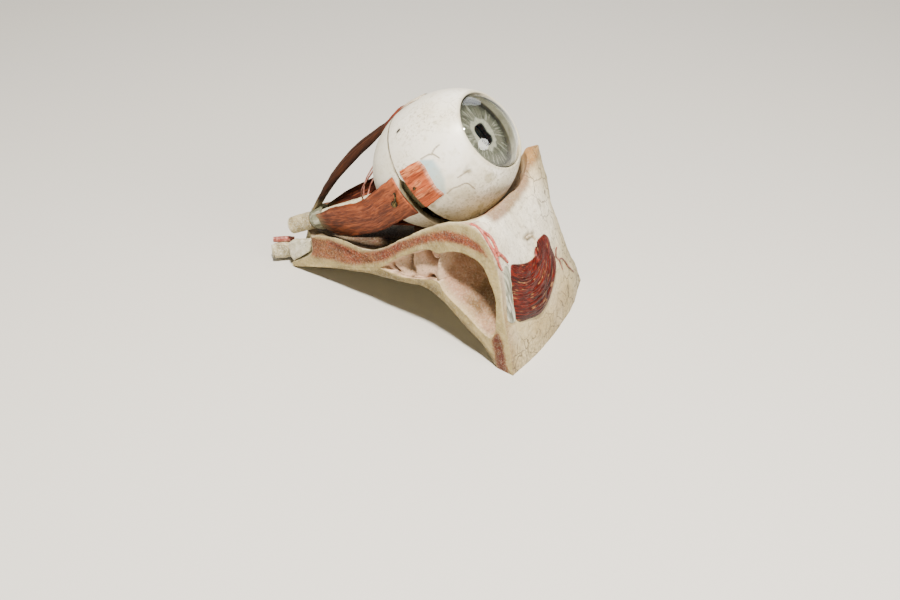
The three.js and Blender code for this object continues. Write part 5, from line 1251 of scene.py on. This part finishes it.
paint = coats(
    "8b8774",
    ("dad6bf", ease(0.08, 0.5, fibre) * 0.85),
    ("4a4940", ease(0.05, 0.6, -coarse) * 0.7),
    ("56554a", ease(22.5, 28.0, radius + 2.4 * coarse) * 0.85),
    ("e4dfc6", ease(0.35, 0.7, fibre) * ease(16, 20, radius) * 0.5),
    ("23241f", ease(28.8, 30.2, radius) * 0.85),
    ("f6f0da", in_frill * (0.8 + 0.2 * fibre)),
    ("6b6650", ease(1.2, 0.2, np.abs(radius - frill)) * 0.6 * ease(-0.6, 0.2, coarse)),
    ("191a1e", ease(pupil + 0.9, pupil + 0.1, radius) * 0.95),
)
paint = np.concatenate([paint, np.broadcast_to(tint("2a2119"), back.shape)])
disc = from_eye(np.concatenate([front, back]))
make("iris_disc", "iris", "front_segment", "iris", ring_grid(disc, paint, closed=True))

# %% [markdown]
# The ciliary ring holds the iris from behind. Its back is drawn into about thirty-four folds, which on
# the real eye hold the threads of the lens.

# %% Ciliary ring
turn = once_round(408)
wave = np.cos(34 * turn)
fold = 2.0 * (0.5 + 0.5 * wave) ** 0.7 + 0.35 * np.sin(5 * turn)
SECTION = [(22.6, 31.4, 1), (22.6, 28.9, 1), (25, 27.3, 0.8), (28.5, 26.9, 0.5), (33, 26.9, 0.1), (38, 26.9, 0),
           (40, 28.9, 0), (40, 35.4, 0), (30, 35.4, 0), (30, 40.7, 0), (25.5, 40.7, 0), (24.4, 36, 0.3)]
wide, height, folded = spread(SECTION + SECTION[:1], 150)[:-1].T[..., None]
ring = polar(wide + folded * fold, turn, height - 0.5 * folded * wave)
# the fold crests are painted lighter as painted highlight, and the hollows between them stay dark as painted shade
paint = coats("3d2119", ("6b4230", folded * (0.5 + 0.5 * wave) * 0.8))
make("ciliary_folds", "ciliary_ring", "front_segment", "choroid", ring_grid(from_eye(ring), paint, closed=True))

# %% [markdown]
# Cornea, lens and vitreous body are glass. The cornea is blown, so both of its faces are parts of
# spheres with one middle. The lens and the vitreous body are cast; the lens lies in a hollow of the
# vitreous body with a thin gap of air.

# %% Glass
def dome(radius, edge, top):
    """Rows of (radius, z) of a round cap from its edge to the axis."""
    tilt = np.linspace(math.asin(edge / radius), 0, 50)
    return np.stack([radius * np.sin(tilt), top - radius + radius * np.cos(tilt)], -1)


def arc(radius, length, start_z, end_z, count):
    """Meridian of a spheroid from one height to another, evenly spaced by angle."""
    angle = np.linspace(*(math.asin(np.clip(z / length, -1, 1)) for z in (start_z, end_z)), count)
    return np.stack([radius * np.cos(angle), length * np.sin(angle)], -1)


def cast(name, node, body, slot, profile, around, closed=False):
    """Glass piece turned about the eye's axis from profile rows of (radius, z)."""
    rings = from_eye(polar(profile[:, :1], once_round(around), profile[:, 1:]))
    make(name, node, body, slot, ring_grid(rings, np.ones(3), closed=closed))


CORNEA_RADIUS, BULGE, WALL = 33.55, 15.0, 1.6
LENS_RADIUS, LENS_Z, LENS_BACK, LENS_FRONT, LENS_GAP = 19.5, 30, 8.5, 7.5, 0.3
BODY_INSET, BODY_NECK_Z = 8.6, 25.5
foot = LIMBUS_Z - WALL
sphere = (CORNEA_RADIUS**2 + BULGE**2) / (2 * BULGE)
outside = dome(sphere, CORNEA_RADIUS, foot + BULGE)
inside = dome(sphere - WALL, CORNEA_RADIUS - 2.4, foot + BULGE - WALL)[::-1]
profile = np.concatenate([outside, inside, [[CORNEA_RADIUS - 2.4, foot]]])
cast("cornea_dome", "cornea", "front_segment", "cornea_glass", profile, 200, closed=True)

reach = np.linspace(0, 0.97, 30)
lens_back = stack(LENS_RADIUS * reach, LENS_Z - LENS_BACK * (1 - reach**2))
lens_front = stack(LENS_RADIUS * reach, LENS_Z + LENS_FRONT * (1 - reach**2))[::-1]
profile = np.concatenate([lens_back, [[19.3, 29.8], [LENS_RADIUS, LENS_Z], [19.3, 30.2]], lens_front])
cast("crystal_lens", "lens", "lens", "clear_glass", profile, 140)

hollow = np.linspace(math.sqrt(1 - (LENS_Z - LENS_GAP - BODY_NECK_Z) / LENS_BACK), 0, 24)
back_arc = arc(EYE_RADIUS - BODY_INSET, EYE_LENGTH - BODY_INSET, -(EYE_LENGTH - BODY_INSET), -27.6, 50)
front_arc = arc(43.0, 40.0, 0, BODY_NECK_Z, 30)
cup_line = stack(LENS_RADIUS * hollow, LENS_Z - LENS_GAP - LENS_BACK * (1 - hollow**2))
profile = np.concatenate([back_arc, spread([back_arc[-1], front_arc[0]], 8)[1:-1], front_arc, cup_line])
cast("vitreous_glass", "vitreous_body", "vitreous", "clear_glass", profile, 160)

# %% [markdown]
# ## Small nerves behind the eyeball
# Five reddish threads leave the optic nerve and reach the back of the eyeball. On the object they are
# stiff painted threads that keep their arch.

# %% Ciliary threads
THREADS = [(8, 33, -3), (42, 27, 12), (-42, 26, -16), (140, -20, 16), (-140, -20, -22)]
trunk = spread(through(nerve_line, 400), 400)
for number, (around, x, y) in enumerate(THREADS):
    start = trunk[np.argmin(np.abs(trunk[:, 2] + 97))].copy()
    start[:2] += 7.0 * np.array([math.cos(math.radians(around)), math.sin(math.radians(around))])
    end = np.array([x, y, -EYE_LENGTH * math.sqrt(1 - (x * x + y * y) / EYE_RADIUS**2) - 0.7])
    rings = cord([start, (start + end) / 2 - (0, 0, 8), end], [0.7, 0.55, 0.7, 0.95], 10, 60)
    paint = coats("b0685a", ("dba594", patches(rings, 5, 170 + number, -0.3, 0.5) * 0.7))
    thread = ring_grid(from_eye(rings), paint)
    make(f"ciliary_thread_{number + 1}", f"ciliary_nerve_{number + 1}", "eyeball", "vessel", thread)

# %% [markdown]
# ## Hook and catch
# A bent wire hook hangs on a small screw in the lateral muscle, and a pin stands on the front half. I
# take them for what held the halves shut. The hook is made as long as it shows in the photograph,
# which is too short to reach the pin. The wire is brass, black with old varnish.

# %% Hook
HOOK_PLACE = np.array([-128.966, -29.462, 108.31])
HOOK_AXIS = np.array([-0.291319, -0.944588, -0.151283])
HOOK_TURN, HOOK_LENGTH, HOOK_WIRE = math.radians(29), 11.0, 0.9
hook_axis = EYE_AXES @ HOOK_AXIS
hook_down = np.array([-1.0, 0, 0])
hook_forward = np.cross(hook_axis, hook_down)
hook_x = math.cos(HOOK_TURN) * hook_down + math.sin(HOOK_TURN) * hook_forward
hook_y = -math.sin(HOOK_TURN) * hook_down + math.cos(HOOK_TURN) * hook_forward


def from_hook(points):
    """Places given in the hook's own axes, in the model's frame."""
    return from_eye(to_eye(HOOK_PLACE) + points @ np.stack([hook_x, hook_y, hook_axis]))


def brass(rings, seed, closed=False):
    """Grid of dark varnished brass, with bright spots where it has been rubbed."""
    dark, bright = patches(rings, 3, seed, -0.2, 0.5) * 0.8, patches(rings, 2, seed + 1, 0.5, 0.9) * 0.6
    return ring_grid(rings, coats("2b2416", ("0f0c07", dark), ("8a7442", bright)), closed=closed)


SCREW_SHANK, SCREW_PLAY = 1, 0.3
eyelet = SCREW_SHANK + SCREW_PLAY + HOOK_WIRE
tube = once_round(20)
ring = polar(eyelet + HOOK_WIRE * np.cos(tube), once_round(60).T, HOOK_WIRE * np.sin(tube))
HOOK_LINE = [[0, eyelet, 0], [-0.4, HOOK_LENGTH * 0.5, 0], [-1.6, HOOK_LENGTH * 0.86, 0], [-2.6, HOOK_LENGTH, 0],
             [-3.3, HOOK_LENGTH * 0.84, 0]]
shank = cord(HOOK_LINE, [0.9, 0.9, 0.88, 0.8, 0.62], 16, 80)
hook = brass(from_hook(ring), 180, closed=True), brass(from_hook(shank), 182)
make("wire_hook", "hook", "hook", "hook_wire", *hook)

SCREW = [(0, -4), (1, -2.6), (1, 1.2), (2.35, 1.2), (2.42, 1.45), (1.95, 2.1), (1.0, 2.35), (0, 2.4)]
rings = spun(spread(SCREW, 50), np.zeros(3), np.array([0, 0, 1.0]), 36)
rings[..., 2] -= 0.55 * (np.abs(rings[..., 0]) < 0.35) * (rings[..., 2] > 1.7)
make("slotted_screw", "hook_screw", "eyeball", "hook_wire", brass(from_hook(rings), 184))
CATCH = [(0, 0), (1.4, 0), (1.42, 0.6), (1.1, 1.15), (0.6, 1.45), (0, 1.54)]
rings = spun(spread(CATCH, 40), np.array([0.1, on_eye(-2.4) + 1.9, -2.4]), np.array([0, 1.0, 0]), 32)
make("round_catch", "catch_pin", "front_segment", "hook_wire", brass(from_eye(rings), 186))

# %% [markdown]
# ## The face
# What lies on the face of the bone is placed by two numbers, how far towards the nose and how high. A
# few rounds of correction find the upright plane that holds such a place, and a lift along the face's
# normal sets it off the bone. The cheek muscle is laid with threads that fan from its lower edge.

# %% Places on the face
FACE_NORMAL = np.array([0.955, -0.082, 0.285])
FACE_NORMAL /= np.linalg.norm(FACE_NORMAL)
PAD_ROOT = 2


def on_face(y, z, lift=0.0):
    """Place on the face of the bone at a distance to the nose side and a height, lifted off it."""
    y, z, lift = np.broadcast_arrays(np.asarray(y, float), z, lift)
    y_flat, z_flat = y.ravel(), z.ravel()
    share = (y_flat - FOOT_LINE[0][1]) / FACE_WIDTH
    for _ in range(8):
        share = np.clip(share, 0, 1)
        line = through(flow(SHARES, FACE, share), 50)
        s = np.array([np.interp(height, row[:, 1], row[:, 0]) for height, row in zip(z_flat, line)])
        place = on_plane(share, s[:, None], z_flat[:, None])[:, 0]
        share = share + (y_flat - place[:, 1]) / FACE_WIDTH
    return place.reshape(y.shape + (3,)) + lift[..., None] * FACE_NORMAL


def face_dome(outline, middle, relief, rows, around):
    """Domed pad over a drawn outline: rows shrink to the middle and rise, and the first is a root in the bone."""
    outline = np.array(outline, float)
    line = spread(through(np.concatenate([outline[-2:], outline, outline[:2]]), 2000)[190:-190], 1200)
    away = np.linalg.norm(line - outline[0], axis=1)
    line = spread(line[np.argmin(away[:600]) : 601 + np.argmin(away[600:])], around + 1)[:-1]
    tilt = np.linspace(0, math.pi / 2, rows)
    size = np.concatenate([[1], np.cos(tilt) ** 1.15])[:, None]
    rise = np.concatenate([[0], np.sin(tilt) ** 0.75])[:, None]
    y, z = (middle[k] + (line[None, :, k] - middle[k]) * size for k in range(2))
    return y, z, rise * relief - PAD_ROOT * (np.arange(rows + 1)[:, None] == 0), size


MUSCLE_EDGE = [[10.5, 79.2], [16.2, 74], [16.3, 66], [18, 55], [12.4, 46.1], [-5, 36.9], [-19.8, 31.9], [-34, 30.4],
               [-48, 33.4], [-64.6, 40], [-62.6, 57.3], [-60, 73.7], [-56.7, 80.7], [-51.9, 83], [-39.7, 77.4],
               [-26.6, 72.7], [-16.5, 72.1], [-11.5, 75.8], [-4.6, 78.6], [2, 79.8]]
y, z, lift, size = face_dome(MUSCLE_EDGE, (-24, 52), 4.4, 120, 420)
along = stack(np.hypot(y + 32, z - 98), 0, np.arctan2(z - 98, y + 32) * 45 / 9)
threads = 0.55 * grain(along, 2.2, 190) + 0.35 * grain(along, 1.0, 191)
swell = 0.9 * grain(stack(y, z, 0), 12, 192) * ease(0, 0.4, 1 - size)
plate = on_face(y, z, lift + threads * ease(0, 0.3, 1 - size) + swell)
paint = coats(
    "4e0d04",
    ("210401", patches(along, 4, 193, -0.1, 0.6) * 0.75),
    ("842612", patches(along, 1.1, 194, 0.15, 0.6) * 0.6),
    ("1c0301", ease(52, 32, z) * 0.65),
    ("d09a62", patches(along, 0.8, 195, 0.6, 0.85) * 0.6),
)
make("cheek_muscle", "face_muscle", "orbit", "face_muscle", ring_grid(plate, paint, grain=along))

TENDON_EDGE = [[-75, 44.5], [-73.6, 56], [-72, 68], [-70.6, 78], [-66, 86.5], [-59.5, 85], [-61.6, 76], [-63.4, 66],
               [-65.2, 52], [-67.2, 40.6]]
y, z, lift, size = face_dome(TENDON_EDGE, (-68, 62), 1.9, 60, 260)
along = stack(y + 0.12 * z, 0, z / 9)
strip = on_face(y, z, lift + 0.5 * grain(along, 1.8, 197) * ease(0, 0.3, 1 - size))
paint = coats(
    "9fa08d",
    ("56564a", patches(along, 1.8, 198, -0.2, 0.6) * 0.8),
    ("dcdccb", patches(along, 1.2, 199, 0.2, 0.8) * 0.7),
)
make("side_tendon", "face_tendon", "orbit", "tendon", ring_grid(strip, paint, grain=along))

# %% Vessels and nerve of the face
VESSELS = {
    "edge_artery": (1.25, "b5584a", "vessel", "face_artery", [
        [[-62.5, 119.3], [-66, 117.3], [-69, 112], [-71, 105], [-72, 98], [-72.5, 92], [-71, 87.5]],
        [[-71, 105], [-66.5, 100], [-61.5, 93.5], [-58.5, 88]],
        [[-66, 117.3], [-63.5, 111], [-65.5, 104], [-68.5, 98]]]),
    "face_vein": (0.75, "6b3a2c", "vessel", "face_veins", [
        [[20.4, 54], [24, 49.8], [30.9, 47], [36, 41.6], [41, 34.2], [53, 22.8]],
        [[24, 49.8], [25, 44.5], [25.6, 39.5]], [[20.4, 54], [23.4, 57.6], [28, 59]]]),
    "nerve_twig": (1.0, "c9b99a", "nerve", "face_nerve", [
        [[-16.5, 88.4], [-11, 87.8], [-6.6, 85.8], [-5.4, 81.5], [-8, 77]]]),
}
for name, (radius, colour, slot, node, lines) in VESSELS.items():
    grids = []
    for number, line in enumerate(lines):
        flat = spread(through(line, 200), 40)
        rings = cord(on_face(*flat.T, radius * 0.7), radius * np.array([1.05, 1, 0.95, 0.9, 0.7]), 14, 90)
        rings = rings + 0.14 * grain(rings, 2.5, 205 + number)[..., None] * FACE_NORMAL
        grids.append(ring_grid(rings, coats(colour, ("4e1d16", patches(rings, 4, 206, 0.1, 0.8) * 0.6))))
    make(name, node, "orbit", slot, *grids)

# %% [markdown]
# ## Cut ends at the back
# The vessels and nerves that run on behind the orbit are sawn off short. They are chalky lumps, so
# their rings are pushed about by noise, and the cut ends are paler than the sides.

# %% Stumps
def lump(rings, colour, shade, pale, seed, rough=0.5):
    """Rings pushed about along the way from their own middles, with patches of shade and of pale chalk."""
    away = rings - rings.mean(1, keepdims=True)
    away = away / np.maximum(np.linalg.norm(away, axis=-1, keepdims=True), 1e-6)
    rings = rings + rough * grain(rings, 4.5, seed)[..., None] * away
    chalk = patches(rings, 3, seed + 2, 0.1, 0.7) * 0.7
    return ring_grid(rings, coats(colour, (shade, patches(rings, 5, seed + 1, -0.2, 0.6) * 0.7), (pale, chalk)))


rings = cord([[-244, 44.5, 9], [-254, 37.8, 9.3], [-265, 30.6, 8.6], [-265.9, 30.0, 8.5]], [7.2, 7.4, 7.4, 6.2], 48, 60)
make("round_end", "round_stump", "orbit", "nerve", lump(rings, "a89c78", "655c41", "ddd6bf", 210))
rings = cord([[-249, 38.5, 19.4], [-256, 37.5, 19.2], [-267, 34, 18.4]], [2.6, 2.6, 2.5], 28, 50)
make("artery_end", "artery_stump", "orbit", "vessel", lump(rings, "a85448", "6b2b22", "d9a090", 214, 0.2))

BLOCK = [[234.6, 35], [236.8, 22.8], [257.5, 5.6], [262.6, 9], [263.6, 21.5], [259, 25.4], [234.6, 35]]
line = spread(BLOCK, 121)[:-1]
centre = line.mean(0)
rows = spread([[0, 0], [0.9, 0], [1, 1.2], [1, 6], [0.8, 9], [0, 9]], 60)
flat = centre + (line - centre)[None] * rows[:, :1, None]
rings = to_eye(on_cut(flat[..., 0], flat[..., 1], rows[:, 1:2] + 0 * flat[..., 0]))
rings = from_eye(off_rod(rings, NERVE_END, sheath_axis, -2, 40, SHEATH_RADIUS + 0.3))
make("block_end", "nerve_stump", "orbit", "nerve", lump(rings, "d3ccb0", "8a8160", "f4f0e2", 218, 0.45))

# %% [markdown]
# The eyeball rests on a lump of packing on the floor of the orbit, painted dark brown as painted shade like the shaded
# floor.

# %% Packing under the eyeball
tilt = np.linspace(-math.pi / 2, math.pi / 2, 60)[:, None]
ball = polar(np.cos(tilt), once_round(90), np.sin(tilt))
pad = np.array([-112, 23, 59]) + ball * (18.6, 11.8, 8.8)
pad = pad + 0.4 * grain(pad, 5, 221)[..., None] * ball
pad = from_eye(off_spheroid(to_eye(pad), EYE_RADIUS + 0.35, EYE_LENGTH + 0.35))
# painted shade: the packing is dark brown to sit in the shade under the eyeball
paint = coats("6a4a33", ("2e1c12", patches(pad, 6, 222, -0.2, 0.5) * 0.7))
make("orbit_packing", "fat_pad", "orbit", "fat", ring_grid(pad, paint))

# %% Finish
print(len(counts), "pieces,", sum(counts), "triangles")
